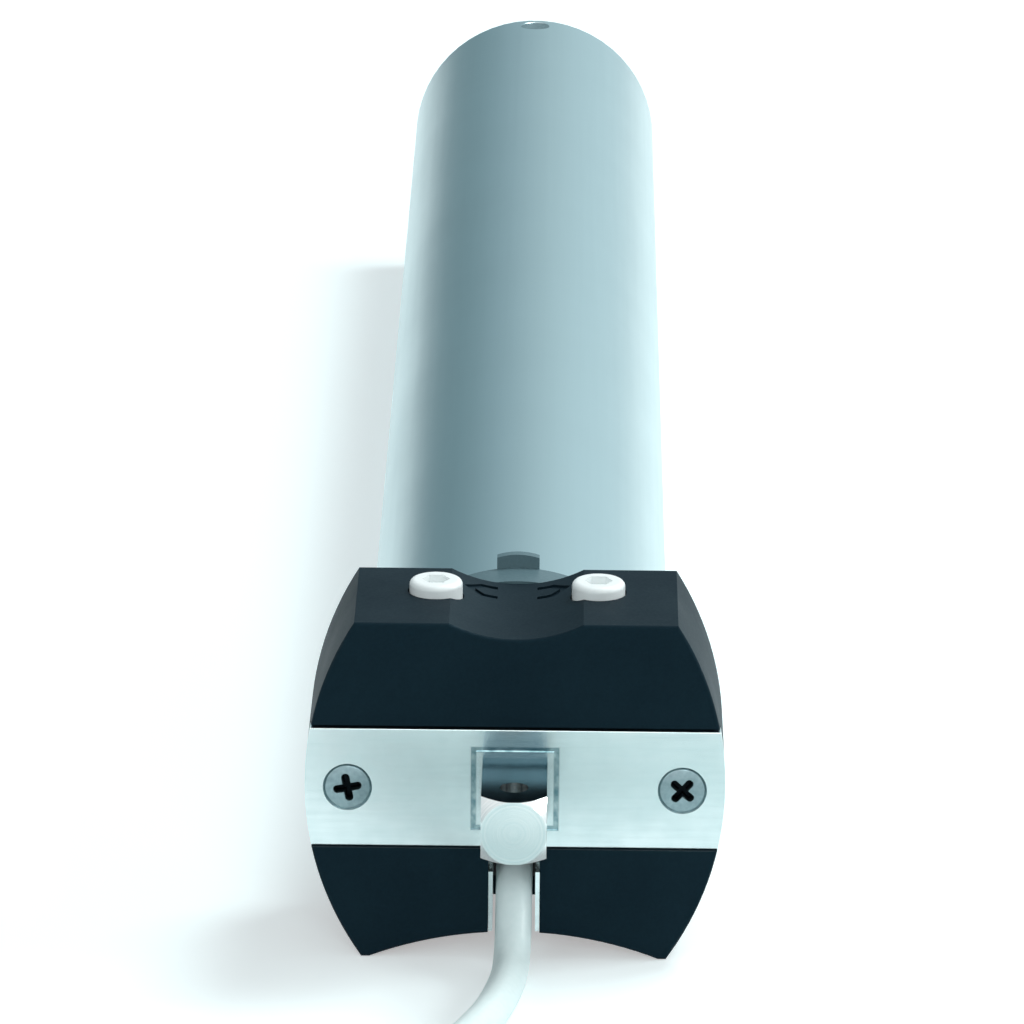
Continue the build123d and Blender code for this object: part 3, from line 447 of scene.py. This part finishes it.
FINISHES = (
    Finish(
        "black_plastic", (0.065, 0.11, 0.14), (0.05, 0.09, 0.12), roughness=0.55,
        spread=0.05, grain=1900.0, relief=0.1, specular=0.15, sheen=(0.25, 0.75, 1.0),
    ),
    StakedFinish(
        "zinc_steel", (0.87, 0.91, 0.915), (0.82, 0.875, 0.88), roughness=0.23,
        metallic=1.0, pattern=Pattern.ROLLED, spread=0.05, grain=900.0, relief=0.06, patch=160.0,
    ),
    TurnedFinish(
        "turned_steel", (0.98, 0.99, 0.99), (0.9, 0.94, 0.945), roughness=0.2,
        metallic=1.0, pattern=Pattern.TURNED, spread=0.05, grain=2600.0, relief=0.2,
        sheen=(0.36, 0.36, 0.36),
    ),
    RecessedFinish(
        "screw_steel", (0.56, 0.64, 0.66), (0.46, 0.54, 0.56), roughness=0.36,
        metallic=1.0, pattern=Pattern.CAST, grain=1100.0, relief=0.1,
    ),
    Finish(
        "white_plastic", (0.97, 0.985, 0.985), (0.95, 0.97, 0.97), roughness=0.32,
        spread=0.05, grain=1600.0, relief=0.1,
    ),
    Finish(
        "natural_plastic", (0.9, 0.88, 0.83), (0.86, 0.84, 0.79), roughness=0.45,
        spread=0.06, grain=1400.0, relief=0.12,
    ),
    Finish(
        "red_plastic", (0.62, 0.14, 0.1), (0.55, 0.11, 0.08), roughness=0.42,
        spread=0.06, grain=1400.0, relief=0.12,
    ),
    Finish(
        "grey_plastic", (0.34, 0.44, 0.47), (0.3, 0.4, 0.43), roughness=0.42,
        spread=0.06, relief=0.12,
    ),
    Finish(
        "rubber", (0.2, 0.2, 0.2), (0.16, 0.16, 0.16), roughness=0.7,
        grain=1200.0, relief=0.2,
    ),
    Finish(
        "tube_steel", (0.75, 0.825, 0.84), (0.735, 0.81, 0.825), roughness=0.33,
        metallic=1.0, pattern=Pattern.DRAWN, spread=0.02, grain=500.0, relief=0.02, patch=30.0,
    ),
    Finish(
        "capacitor_case", (0.86, 0.87, 0.88), (0.8, 0.81, 0.82), roughness=0.33,
        metallic=1.0, pattern=Pattern.DRAWN, spread=0.05, grain=900.0, relief=0.1,
    ),
    Finish(
        "foam", (0.28, 0.28, 0.28), (0.2, 0.2, 0.2), roughness=0.9,
        pattern=Pattern.CAST, spread=0.05, grain=2200.0, relief=0.6,
    ),
    Finish(
        "cast_zinc", (0.77, 0.78, 0.79), (0.68, 0.69, 0.7), roughness=0.45,
        metallic=1.0, pattern=Pattern.CAST, grain=1300.0, relief=0.3,
    ),
    Finish(
        "bronze", (0.74, 0.6, 0.4), (0.64, 0.5, 0.32), roughness=0.42,
        metallic=1.0, pattern=Pattern.TURNED, spread=0.07, grain=1700.0, relief=0.2,
    ),
    Finish(
        "core_steel", (0.5, 0.5, 0.51), (0.36, 0.36, 0.37), roughness=0.5,
        metallic=1.0, pattern=Pattern.STACKED, grain=2000.0, relief=0.6,
    ),
    Finish(
        "copper", (0.72, 0.42, 0.26), (0.56, 0.29, 0.16), roughness=0.3,
        metallic=1.0, pattern=Pattern.WOUND, spread=0.06, relief=0.8, patch=120.0, coat=0.6,
    ),
    Finish(
        "lining", (0.44, 0.4, 0.34), (0.34, 0.3, 0.26), roughness=0.85,
        pattern=Pattern.CAST, spread=0.06, grain=1800.0, relief=0.5, patch=300.0,
    ),
    Finish(
        "gear_steel", (0.68, 0.68, 0.67), (0.58, 0.58, 0.57), roughness=0.42,
        metallic=1.0, pattern=Pattern.CAST, spread=0.07, grain=2400.0, relief=0.25,
    ),
    Finish(
        "spring_steel", (0.48, 0.48, 0.5), (0.36, 0.36, 0.38), roughness=0.3,
        metallic=1.0, pattern=Pattern.CAST, grain=1400.0,
    ),
    Finish(
        "cable_jacket", (0.92, 0.965, 0.965), (0.89, 0.945, 0.945), roughness=0.38,
        pattern=Pattern.EXTRUDED, spread=0.06, grain=800.0, relief=0.08, patch=25.0,
    ),
    Finish(
        "tin", (0.87, 0.88, 0.89), (0.78, 0.79, 0.8), roughness=0.25,
        metallic=1.0, pattern=Pattern.CAST, spread=0.06, relief=0.1,
    ),
    Finish(
        "core_brown", (0.5, 0.32, 0.2), (0.46, 0.29, 0.18), roughness=0.35,
        pattern=Pattern.EXTRUDED, spread=0.05, grain=1200.0, relief=0.1,
    ),
    Finish(
        "core_blue", (0.2, 0.42, 0.74), (0.17, 0.38, 0.7), roughness=0.35,
        pattern=Pattern.EXTRUDED, spread=0.05, grain=1200.0, relief=0.1,
    ),
    Finish(
        "core_black", (0.13, 0.13, 0.14), (0.1, 0.1, 0.11), roughness=0.35,
        pattern=Pattern.EXTRUDED, spread=0.05, grain=1200.0, relief=0.1,
    ),
    Finish(
        "core_earth", (0.5, 0.74, 0.3), (0.46, 0.7, 0.27), roughness=0.35,
        pattern=Pattern.EXTRUDED, spread=0.05, grain=1200.0, relief=0.1,
    ),
)


class FinishBook:
    """Every finish of the motor, made once and handed out by its slot."""

    def __init__(self, finishes: Sequence[Finish]) -> None:
        """Builds the materials.

        Args:
            finishes: The finishes to make.
        """
        self.materials = {finish.slot: finish.build() for finish in finishes}

    def dress(self, piece: bpy.types.Object, slot: str) -> None:
        """Gives a piece one finish all over.

        Args:
            piece: The object to dress.
            slot: The finish's slot.
        """
        piece.data.materials.clear()
        piece.data.materials.append(self.materials[slot])


@dataclass
class Workshop:
    """What every sub-assembly needs: the frame's nodes and the finishes."""

    nodes: dict[str, bpy.types.Object]
    book: FinishBook

    def carry_over(self, finishes: dict[str, str]) -> None:
        """Keeps frame nodes whose shape is right, each with its finish.

        Args:
            finishes: The finish's slot for each node's name.
        """
        for node, slot in finishes.items():
            self.book.dress(self.nodes[node], slot)
            log.info("%s keeps its shape, in %s", node, slot)

    def place(self, name: str, mesh: bpy.types.Mesh, slot: str, body: str, *replaced: str) -> None:
        """Puts a finished mesh into the scene as a piece.

        Args:
            name: The piece's name.
            mesh: Its mesh, in the row frame.
            slot: Its finish's slot.
            body: The body that it rides on.
            *replaced: The frame nodes that it stands for.
        """
        piece = bpy.data.objects.new(name, mesh)
        bpy.context.scene.collection.objects.link(piece)
        self.book.dress(piece, slot)
        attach(piece, body)
        if replaced:
            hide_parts(*replaced)
        log.info("%s is made in %s", name, slot)


class RingTree:
    """A geometry node tree that sets copies of one part round the motor's axis."""

    def __init__(self, name: str) -> None:
        """Builds the tree with its named sizes.

        Args:
            name: The tree's name.
        """
        self.tree = bpy.data.node_groups.new(name, "GeometryNodeTree")
        self.sheet = NodeSheet(self.tree)
        face = self.tree.interface
        face.new_socket(name="Geometry", in_out="OUTPUT", socket_type="NodeSocketGeometry")
        self.sockets = {}
        kinds = {
            "Part": "NodeSocketObject",
            "Count": "NodeSocketInt",
            "Radius": "NodeSocketFloat",
            "Station": "NodeSocketFloat",
            "First Angle": "NodeSocketFloat",
            "Angle Step": "NodeSocketFloat",
            "First Turn": "NodeSocketFloat",
            "Turn Step": "NodeSocketFloat",
            "Finish": "NodeSocketMaterial",
        }
        for label, kind in kinds.items():
            socket = face.new_socket(name=label, in_out="INPUT", socket_type=kind)
            self.sockets[label] = socket.identifier
        self._wire()

    def _stepped(
        self, index: bpy.types.NodeSocket, inputs: bpy.types.NodeOutputs, name: str
    ) -> bpy.types.NodeSocket:
        """Gives a copy's angle or turn: the first one and a step for each copy before it.

        Args:
            index: The copy's number.
            inputs: The tree's named inputs.
            name: What is counted, as in the names of its two inputs.

        Returns:
            The socket of the angle or turn.
        """
        return self.sheet.maths("MULTIPLY_ADD", index, inputs[f"{name} Step"], inputs[f"First {name}"])

    def _wire(self) -> None:
        """Joins the nodes: points round the axis, a copy on each, realised and given its finish."""
        link = self.tree.links.new
        sheet = self.sheet
        inputs = sheet.add("NodeGroupInput").outputs
        output = sheet.add("NodeGroupOutput")
        index = sheet.add("GeometryNodeInputIndex").outputs[0]
        points = sheet.add("GeometryNodePoints")
        link(inputs["Count"], points.inputs["Count"])
        angle = self._stepped(index, inputs, "Angle")
        place = sheet.add("ShaderNodeCombineXYZ")
        across = sheet.maths("MULTIPLY", sheet.maths("COSINE", angle), inputs["Radius"])
        upward = sheet.maths("MULTIPLY", sheet.maths("SINE", angle), inputs["Radius"])
        link(across, place.inputs["X"])
        link(inputs["Station"], place.inputs["Y"])
        link(upward, place.inputs["Z"])
        link(place.outputs[0], points.inputs["Position"])
        turn = sheet.add("ShaderNodeCombineXYZ")
        link(self._stepped(index, inputs, "Turn"), turn.inputs["Y"])
        euler = sheet.add("FunctionNodeEulerToRotation")
        link(turn.outputs[0], euler.inputs[0])
        part = sheet.add("GeometryNodeObjectInfo")
        link(inputs["Part"], part.inputs["Object"])
        copies = sheet.add("GeometryNodeInstanceOnPoints")
        link(points.outputs[0], copies.inputs["Points"])
        link(part.outputs["Geometry"], copies.inputs["Instance"])
        link(euler.outputs[0], copies.inputs["Rotation"])
        real = sheet.add("GeometryNodeRealizeInstances")
        link(copies.outputs[0], real.inputs[0])
        finish = sheet.add("GeometryNodeSetMaterial")
        link(real.outputs[0], finish.inputs["Geometry"])
        link(inputs["Finish"], finish.inputs["Material"])
        link(finish.outputs[0], output.inputs["Geometry"])

    def run(self, part: bpy.types.Mesh, sizes: dict[str, object]) -> bpy.types.Mesh:
        """Sets the copies and gives them as one plain mesh.

        Args:
            part: The mesh that is repeated.
            sizes: The tree's inputs by name.

        Returns:
            The mesh of all copies, in the row frame.
        """
        collection = bpy.context.scene.collection.objects
        pattern = bpy.data.objects.new("ring_pattern", part)
        holder = bpy.data.objects.new("ring_holder", bpy.data.meshes.new("ring_holder"))
        collection.link(pattern)
        collection.link(holder)
        modifier = holder.modifiers.new("ring", "NODES")
        modifier.node_group = self.tree
        modifier[self.sockets["Part"]] = pattern
        for label, value in sizes.items():
            modifier[self.sockets[label]] = value
        graph = bpy.context.evaluated_depsgraph_get()
        mesh = bpy.data.meshes.new_from_object(holder.evaluated_get(graph))
        bpy.data.objects.remove(holder)
        bpy.data.objects.remove(pattern)
        return mesh


@dataclass
class CountersunkScrew:
    """A countersunk screw with a lightly domed head and a cross recess, seen along -Y."""

    radius: float = 4.2 * MM
    rim: float = 0.12 * MM
    land: float = 0.25 * MM
    dome: float = 0.45 * MM
    taper_end: float = 2.4 * MM
    shank: float = 2.5 * MM
    length: float = 18.0 * MM
    arm_reach: float = 5.0 * MM
    arm_width: float = 1.2 * MM
    recess: float = 1.9 * MM
    corner: float = 0.3 * MM
    wall: float = 0.35 * MM
    rings: int = 44
    sides: int = 144
    corner_steps: int = 5
    sharp_angle: float = 35.0

    def _inside(self, x: float, z: float) -> float:
        """Gives how far a point of the head's face lies inside the recess.

        Args:
            x: Across the head, in metres.
            z: Up the head, in metres.

        Returns:
            0 on the face and 1 on the recess's floor.
        """
        half = self.arm_width / 2
        reach = self.arm_reach / 2 - half
        gaps = []
        for along, over in ((x, z), (z, x)):
            past = max(abs(along) - reach, 0.0)
            gaps.append(math.hypot(past, over) - half)
        share = min(1.0, max(0.0, 0.5 - min(gaps) / self.wall))
        return share * share * (3 - 2 * share)

    def _circle(self, shape: bmesh.types.BMesh, radius: float, y: float) -> list[bmesh.types.BMVert]:
        """Adds one plain ring of the screw."""
        turns = [math.tau * side / self.sides for side in range(self.sides)]
        return [shape.verts.new((radius * math.cos(turn), y, radius * math.sin(turn))) for turn in turns]

    def mesh(self) -> bpy.types.Mesh:
        """Builds the screw.

        Returns:
            A closed mesh whose head looks along -Y, with the recess attribute on its points.
        """
        shape = bmesh.new()
        # the recess share also sets the painted shade of the screw finish
        depth = shape.verts.layers.float.new("recess")
        centre = shape.verts.new((0.0, self.rim - self.dome + self.recess, 0.0))
        centre[depth] = 1.0
        rows = []
        flat = self.radius - self.corner
        for ring in range(1, self.rings + 1):
            radius = flat * ring / self.rings
            face = self.rim - self.dome * (1 - (radius / self.radius) ** 2)
            row = self._circle(shape, radius, face)
            for vertex in row:
                vertex[depth] = self._inside(vertex.co.x, vertex.co.z)
                vertex.co.y += self.recess * vertex[depth]
            rows.append(row)
        edge = self.rim - self.dome * (1 - (flat / self.radius) ** 2)
        for step in range(1, self.corner_steps + 1):
            turn = math.pi / 2 * step / self.corner_steps
            radius = flat + self.corner * math.sin(turn)
            rows.append(self._circle(shape, radius, edge + self.corner * (1 - math.cos(turn))))
        rows.append(self._circle(shape, self.radius, edge + self.corner + self.land))
        rows.append(self._circle(shape, self.shank, self.taper_end))
        rows.append(self._circle(shape, self.shank, self.length))
        for side in range(self.sides):
            after = (side + 1) % self.sides
            shape.faces.new((centre, rows[0][side], rows[0][after]))
            for inner, outer in zip(rows, rows[1:]):
                shape.faces.new((inner[side], outer[side], outer[after], inner[after]))
        shape.faces.new(rows[-1])
        bmesh.ops.recalc_face_normals(shape, faces=shape.faces)
        sharp = math.radians(self.sharp_angle)
        for face in shape.faces:
            face.smooth = len(face.verts) < 5
        for edge_line in shape.edges:
            edge_line.smooth = edge_line.calc_face_angle(0.0) < sharp
        mesh = bpy.data.meshes.new("countersunk_screw")
        shape.to_mesh(mesh)
        shape.free()
        return mesh


@dataclass
class MountingPlate:
    """The steel plate on the head's face with its two screws, and the square pin staked in it."""

    shop: Workshop
    screw_spacing: float = 61.9 * MM
    screw_turns: tuple[float, float] = (-11.0, 42.0)
    screw: CountersunkScrew = field(default_factory=CountersunkScrew)

    def build(self, ring: RingTree) -> None:
        """Makes the screws and dresses the plate.

        Args:
            ring: The tree that sets parts round the axis.
        """
        first, second = (math.radians(turn) for turn in self.screw_turns)
        sizes = {
            "Count": 2,
            "Radius": self.screw_spacing / 2,
            "Station": 0.0,
            "First Angle": math.pi,
            "Angle Step": -math.pi,
            "First Turn": first,
            "Turn Step": second - first,
            "Finish": self.shop.book.materials["screw_steel"],
        }
        screws = ring.run(self.screw.mesh(), sizes)
        self.shop.place("plate_screw_pair", screws, "screw_steel", "housing", "plate_screws")
        self.shop.carry_over({"front_plate": "zinc_steel", "square_pin": "turned_steel"})


@dataclass
class DriveHead:
    """The moulded head with its spigot, its adjusters, and the limit switch behind them."""

    shop: Workshop

    def build(self) -> None:
        """Dresses the head and what it holds."""
        self.shop.carry_over(
            {
                "head_housing": "black_plastic",
                "spigot": "black_plastic",
                "spigot_screws": "zinc_steel",
                "adjuster_left": "white_plastic",
                "adjuster_right": "white_plastic",
                "set_wheel_left": "natural_plastic",
                "set_wheel_right": "natural_plastic",
                "limit_frame": "black_plastic",
                "switch_left": "red_plastic",
                "switch_right": "red_plastic",
                "crown_ring": "grey_plastic",
                "limit_pinion": "natural_plastic",
                "cam_wheel": "natural_plastic",
                "cable_clip": "zinc_steel",
                "cable_grommet": "rubber",
                "terminal_block": "natural_plastic",
            }
        )


@dataclass
class MotorTube:
    """The steel tube with the capacitor, the motor, the brake and the gearing in it."""

    shop: Workshop
    stages: int = 3
    planets: int = 3

    def build(self) -> None:
        """Dresses the tube and everything inside it."""
        finishes = {
            "motor_tube": "tube_steel",
            "tube_screws": "screw_steel",
            "capacitor": "capacitor_case",
            "capacitor_sleeve": "foam",
            "motor_shield_front": "cast_zinc",
            "motor_shield_rear": "cast_zinc",
            "rotor_bushes": "bronze",
            "stator_core": "core_steel",
            "windings": "copper",
            "rotor_core": "core_steel",
            "rotor_shaft": "turned_steel",
            "brake_spring": "turned_steel",
            "brake_disc": "turned_steel",
            "brake_lining": "lining",
            "gear_flange": "cast_zinc",
            "ring_gear": "gear_steel",
            "carrier_1": "gear_steel",
            "carrier_2": "gear_steel",
            "output_shaft": "turned_steel",
            "output_bush": "bronze",
            "end_cover": "cast_zinc",
            "circlip": "spring_steel",
        }
        for stage in range(1, self.stages + 1):
            finishes[f"planet_pins_{stage}"] = "turned_steel"
            for planet in range(1, self.planets + 1):
                finishes[f"planet_{stage}_{planet}"] = "gear_steel"
        self.shop.carry_over(finishes)


@dataclass
class SupplyCable:
    """The jacketed lead: down out of the head, along the floor, and wound up in a flat coil.

    Its route, its coil and its cores are laid out in millimetres, and the two radii are in metres.
    """

    shop: Workshop
    radius: float = 3.4 * MM
    route: tuple[Point, ...] = (
        (0.0, 13.8, -17.6),
        (0.0, 1.5, -17.6),
        (0.0, -10.7, -29.8),
        (-1.2, -25.0, -29.8),
        (-5.0, -42.0, -29.8),
        (-13.0, -60.0, -29.8),
        (-26.0, -78.0, -29.8),
        (-38.0, -97.0, -29.8),
        (-40.0, -117.0, -29.8),
    )
    coil_y: float = -123.8
    outer_turn: float = 51.1
    turn_step: float = 3.8
    half_turns: int = 7
    climb_turn: float = 24.5
    floor_lay: float = -29.8
    upper_lay: float = -22.4
    coil_end: Point = (69.8, -117.0, -22.4)
    turn_points: int = 24
    core_radius: float = 0.95 * MM
    core_circle: float = 1.5
    core_angle: float = 135.0
    core_lane: float = 6.08
    core_low: float = -32.0
    core_length: float = 30.0
    core_steps: tuple[Point, ...] = (
        (0.0, 0.0, 0.0),
        (0.23, 0.0, 0.0),
        (0.53, 0.7, 0.5),
        (0.83, 1.0, 1.0),
        (1.1, 1.2, 1.0),
    )
    path_steps: int = 10
    round_steps: int = 7

    def _half_turn(self, start: float, radius: float, front: bool, low: float, high: float) -> list[Point]:
        """Gives the control points of half a turn, counter-clockwise from above.

        Args:
            start: X where the half turn starts, in millimetres.
            radius: Its radius, in millimetres.
            front: Whether it runs on the side nearer to the camera.
            low: Its height where it starts.
            high: Its height where it ends.

        Returns:
            The control points, in millimetres.
        """
        side = 1.0 if front else -1.0
        centre = start + side * radius
        count = self.turn_points // 2
        reach = radius / math.cos(math.pi / self.turn_points)
        points = []
        for step in range(count):
            share = (step + 0.5) / count
            angle = math.pi * share
            x = centre - side * reach * math.cos(angle)
            y = self.coil_y - side * reach * math.sin(angle)
            points.append((x, y, low + (high - low) * share))
        return points

    def coil(self) -> list[Point]:
        """Gives the coil's control points: inward on the floor, up, and outward on top."""
        radii = [self.outer_turn - self.turn_step * step for step in range(self.half_turns)]
        turns = [(radius, self.floor_lay, self.floor_lay) for radius in radii]
        turns.append((self.climb_turn, self.floor_lay, self.upper_lay))
        turns.extend((radius, self.upper_lay, self.upper_lay) for radius in reversed(radii))
        points: list[Point] = []
        x, front = self.route[-1][0], True
        for radius, low, high in turns:
            points.extend(self._half_turn(x, radius, front, low, high))
            x += 2 * radius if front else -2 * radius
            front = not front
        return points

    def _curve(self, name: str, points: Sequence[Point], radius: float) -> bpy.types.Object:
        """Makes a round curve on one smooth spline.

        Args:
            name: The curve's name.
            points: Its control points, in millimetres.
            radius: Its radius, in metres.

        Returns:
            The curve object.
        """
        data = bpy.data.curves.new(name, "CURVE")
        data.dimensions = "3D"
        data.bevel_depth = radius
        data.bevel_resolution = self.round_steps
        data.resolution_u = self.path_steps
        data.use_fill_caps = True
        spline = data.splines.new("NURBS")
        spline.points.add(len(points) - 1)
        for knot, point in zip(spline.points, points):
            knot.co = (point[0] * MM, point[1] * MM, point[2] * MM, 1.0)
        spline.order_u = 3
        spline.use_endpoint_u = True
        piece = bpy.data.objects.new(name, data)
        bpy.context.scene.collection.objects.link(piece)
        return piece

    def _cores(self) -> list[bpy.types.Object]:
        """Makes the four cores that fan out of the jacket's end.

        Returns:
            The core pieces, in the order brown, blue, black and earth.
        """
        pieces = []
        x, y, z = self.coil_end
        for index, colour in enumerate(CORE_COLOURS):
            angle = math.radians(self.core_angle) + math.tau * index / len(CORE_COLOURS)
            ox, oz = self.core_circle * math.cos(angle), self.core_circle * math.sin(angle)
            lane = (index - (len(CORE_COLOURS) - 1) / 2) * self.core_lane
            points = [
                (
                    x + ox * (1 - down) + lane * across,
                    y + self.core_length * along,
                    (z + oz) * (1 - down) + self.core_low * down,
                )
                for along, across, down in self.core_steps
            ]
            piece = self._curve(f"lead_core_{colour}", points, self.core_radius)
            self.shop.book.dress(piece, f"core_{colour}")
            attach(piece, "housing")
            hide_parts(f"core_{colour}")
            pieces.append(piece)
            log.info("%s is made", piece.name)
        return pieces

    def build(self, length: float) -> None:
        """Args:
            length: The lead's real length, in metres.
        """
        lead = self._curve("supply_lead", [*self.route, *self.coil(), self.coil_end], self.radius)
        self.shop.book.dress(lead, "cable_jacket")
        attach(lead, "housing")
        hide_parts("cable", "cable_coil")
        cores = self._cores()
        self.shop.carry_over({"ferrules": "tin"})
        log.info("supply_lead is %.3f m long", length)


@dataclass(frozen=True)
class Lamp:
    """One soft square lamp, with its places and its side in metres and its power in watts."""

    name: str
    place: Point
    aim: Point
    size: float
    power: float
    colour: Colour

    def hang(self) -> None:
        """Hangs the lamp and turns it to what it lights."""
        data = bpy.data.lights.new(self.name, "AREA")
        data.shape = "SQUARE"
        data.size = self.size
        data.energy = self.power
        data.color = linear(self.colour)[:3]
        lamp = bpy.data.objects.new(self.name, data)
        lamp.location = self.place
        lamp.rotation_euler = (Vector(self.aim) - Vector(self.place)).to_track_quat("-Z", "Y").to_euler()
        bpy.context.scene.collection.objects.link(lamp)


@dataclass
class Studio:
    """The pale floor, the sky, the soft lamps and the camera of the photograph.

    The camera's place, lens and sensor are in millimetres and its yaw, pitch and roll in degrees.
    """

    floor_height: float = -33.25 * MM
    floor_reach: float = 6.0
    floor_tints: tuple[Colour, Colour] = ((0.86, 0.92, 0.925), (0.87, 0.93, 0.935))
    floor_grain: float = 3.0
    floor_roughness: float = 0.9
    floor_gloss: float = 0.05
    floor_glow: float = 0.4
    glow_tint: Shade = (1.0, 0.96, 0.96, 1.0)
    sky_tint: Colour = (0.94, 0.975, 0.985)
    sky_light: float = 0.42
    box_reach: float = 0.4
    box_stops: tuple[tuple[float, Shade], ...] = (
        (0.0, (0.14, 0.24, 0.28, 1.0)),
        (0.14, (0.19, 0.3, 0.33, 1.0)),
        (0.36, (0.36, 0.49, 0.54, 1.0)),
        (0.6, (0.53, 0.67, 0.71, 1.0)),
        (1.0, (0.74, 0.92, 0.97, 1.0)),
    )
    lamps: tuple[Lamp, ...] = (
        Lamp("top_lamp", (0.6, 0.55, 1.4), (0.0, 0.1, 0.0), 0.55, 13.0, (0.98, 1.0, 1.0)),
        Lamp("right_lamp", (1.5, 0.2, 0.95), (0.0, 0.0, 0.0), 0.5, 11.0, (0.98, 1.0, 1.0)),
        Lamp("front_lamp", (0.3, -1.7, 0.75), (0.0, 0.0, 0.0), 0.7, 7.0, (0.97, 1.0, 1.0)),
        Lamp("left_lamp", (-1.1, -1.4, 0.9), (0.0, 0.0, 0.0), 0.9, 4.0, (0.97, 1.0, 1.0)),
    )
    camera_place: Point = (9.07, -1267.33, 462.84)
    camera_turn: Point = (0.454, 17.889, 0.504)
    lens: float = 256.51
    sensor: float = 36.0
    far_clip: float = 50.0

    def floor(self) -> None:
        """Lays the floor, which is white where it is seen and keeps the soft shadow."""
        sheet = MaterialSheet("studio_floor")
        paper = sheet.noise(sheet.object_point(EVENLY), self.floor_grain, SOFT_DETAIL)
        low, high = (linear(tint) for tint in self.floor_tints)
        sheet.join(sheet.ramp(paper, ((0.0, low), (1.0, high))), sheet.shader.inputs["Base Color"])
        sheet.shader.inputs["Roughness"].default_value = self.floor_roughness
        sheet.shader.inputs["Specular IOR Level"].default_value = self.floor_gloss
        glow = sheet.add("ShaderNodeEmission")
        glow.inputs["Color"].default_value = self.glow_tint
        sheet.join(sheet.maths("MULTIPLY", sheet.seen(), self.floor_glow), glow.inputs["Strength"])
        total = sheet.add("ShaderNodeAddShader")
        sheet.join(sheet.shader.outputs[0], total.inputs[0])
        sheet.join(glow.outputs[0], total.inputs[1])
        sheet.join(total.outputs[0], sheet.tree.nodes["Material Output"].inputs["Surface"])
        mesh = bpy.data.meshes.new("studio_floor")
        shape = bmesh.new()
        bmesh.ops.create_grid(shape, x_segments=4, y_segments=4, size=self.floor_reach)
        shape.to_mesh(mesh)
        shape.free()
        mesh.transform(Matrix.Translation((0.0, 0.0, self.floor_height)))
        mesh.materials.append(sheet.material)
        piece = bpy.data.objects.new("studio_floor", mesh)
        bpy.context.scene.collection.objects.link(piece)

    def world(self) -> None:
        """Sets the sky: white where it is seen, and in reflections a soft box, brighter on the right."""
        world = bpy.data.worlds.new("studio_sky")
        bpy.context.scene.world = world
        world.use_nodes = True
        sheet = NodeSheet(world.node_tree)
        sky = sheet.tree.nodes["Background"]
        sky.inputs["Color"].default_value = linear(self.sky_tint)
        sky.inputs["Strength"].default_value = self.sky_light
        parts = sheet.split(sheet.add("ShaderNodeTexCoord").outputs["Generated"])
        side = sheet.remap(parts["X"], 0.0, 1.0, -self.box_reach, self.box_reach)
        behind = sheet.remap(parts["Y"], 0.0, 1.0, 0.0, self.box_reach)
        glossy = sheet.add("ShaderNodeLightPath").outputs["Is Glossy Ray"]
        tint = sheet.blend(sheet.maths("MULTIPLY", glossy, behind), WHITE, sheet.ramp(side, self.box_stops))
        white = sheet.add("ShaderNodeBackground")
        sheet.join(tint, white.inputs["Color"])
        mix = sheet.add("ShaderNodeMixShader")
        sheet.join(sheet.seen(), mix.inputs["Fac"])
        sheet.join(sky.outputs[0], mix.inputs[1])
        sheet.join(white.outputs[0], mix.inputs[2])
        sheet.join(mix.outputs[0], sheet.tree.nodes["World Output"].inputs["Surface"])

    def camera(self) -> None:
        """Sets the camera where the photograph was taken from."""
        data = bpy.data.cameras.new("photo_camera")
        data.lens = self.lens
        data.sensor_width = self.sensor
        data.clip_end = self.far_clip
        camera = bpy.data.objects.new("photo_camera", data)
        yaw, pitch, roll = (math.radians(turn) for turn in self.camera_turn)
        aim = Euler((math.pi / 2 - pitch, 0.0, yaw), "XYZ").to_matrix() @ Matrix.Rotation(roll, 3, "Z")
        camera.rotation_euler = aim.to_euler()
        camera.location = Vector(self.camera_place) * MM
        bpy.context.scene.collection.objects.link(camera)
        bpy.context.scene.camera = camera

    def build(self) -> None:
        """Sets up the floor, the sky, the lamps and the camera."""
        bpy.context.scene.view_settings.view_transform = "Standard"
        self.floor()
        self.world()
        for lamp in self.lamps:
            lamp.hang()
        self.camera()
        log.info("the studio is set")


def main() -> None:
    """Builds every sub-assembly in order."""
    logging.basicConfig(level=logging.INFO, format="%(message)s")
    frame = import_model()
    shop = Workshop(frame["nodes"], FinishBook(FINISHES))
    ring = RingTree("parts_round_the_axis")
    MountingPlate(shop).build(ring)
    DriveHead(shop).build()
    MotorTube(shop).build()
    SupplyCable(shop).build(LEAD_LENGTH)
    Studio().build()


if __name__ == "__main__":
    main()
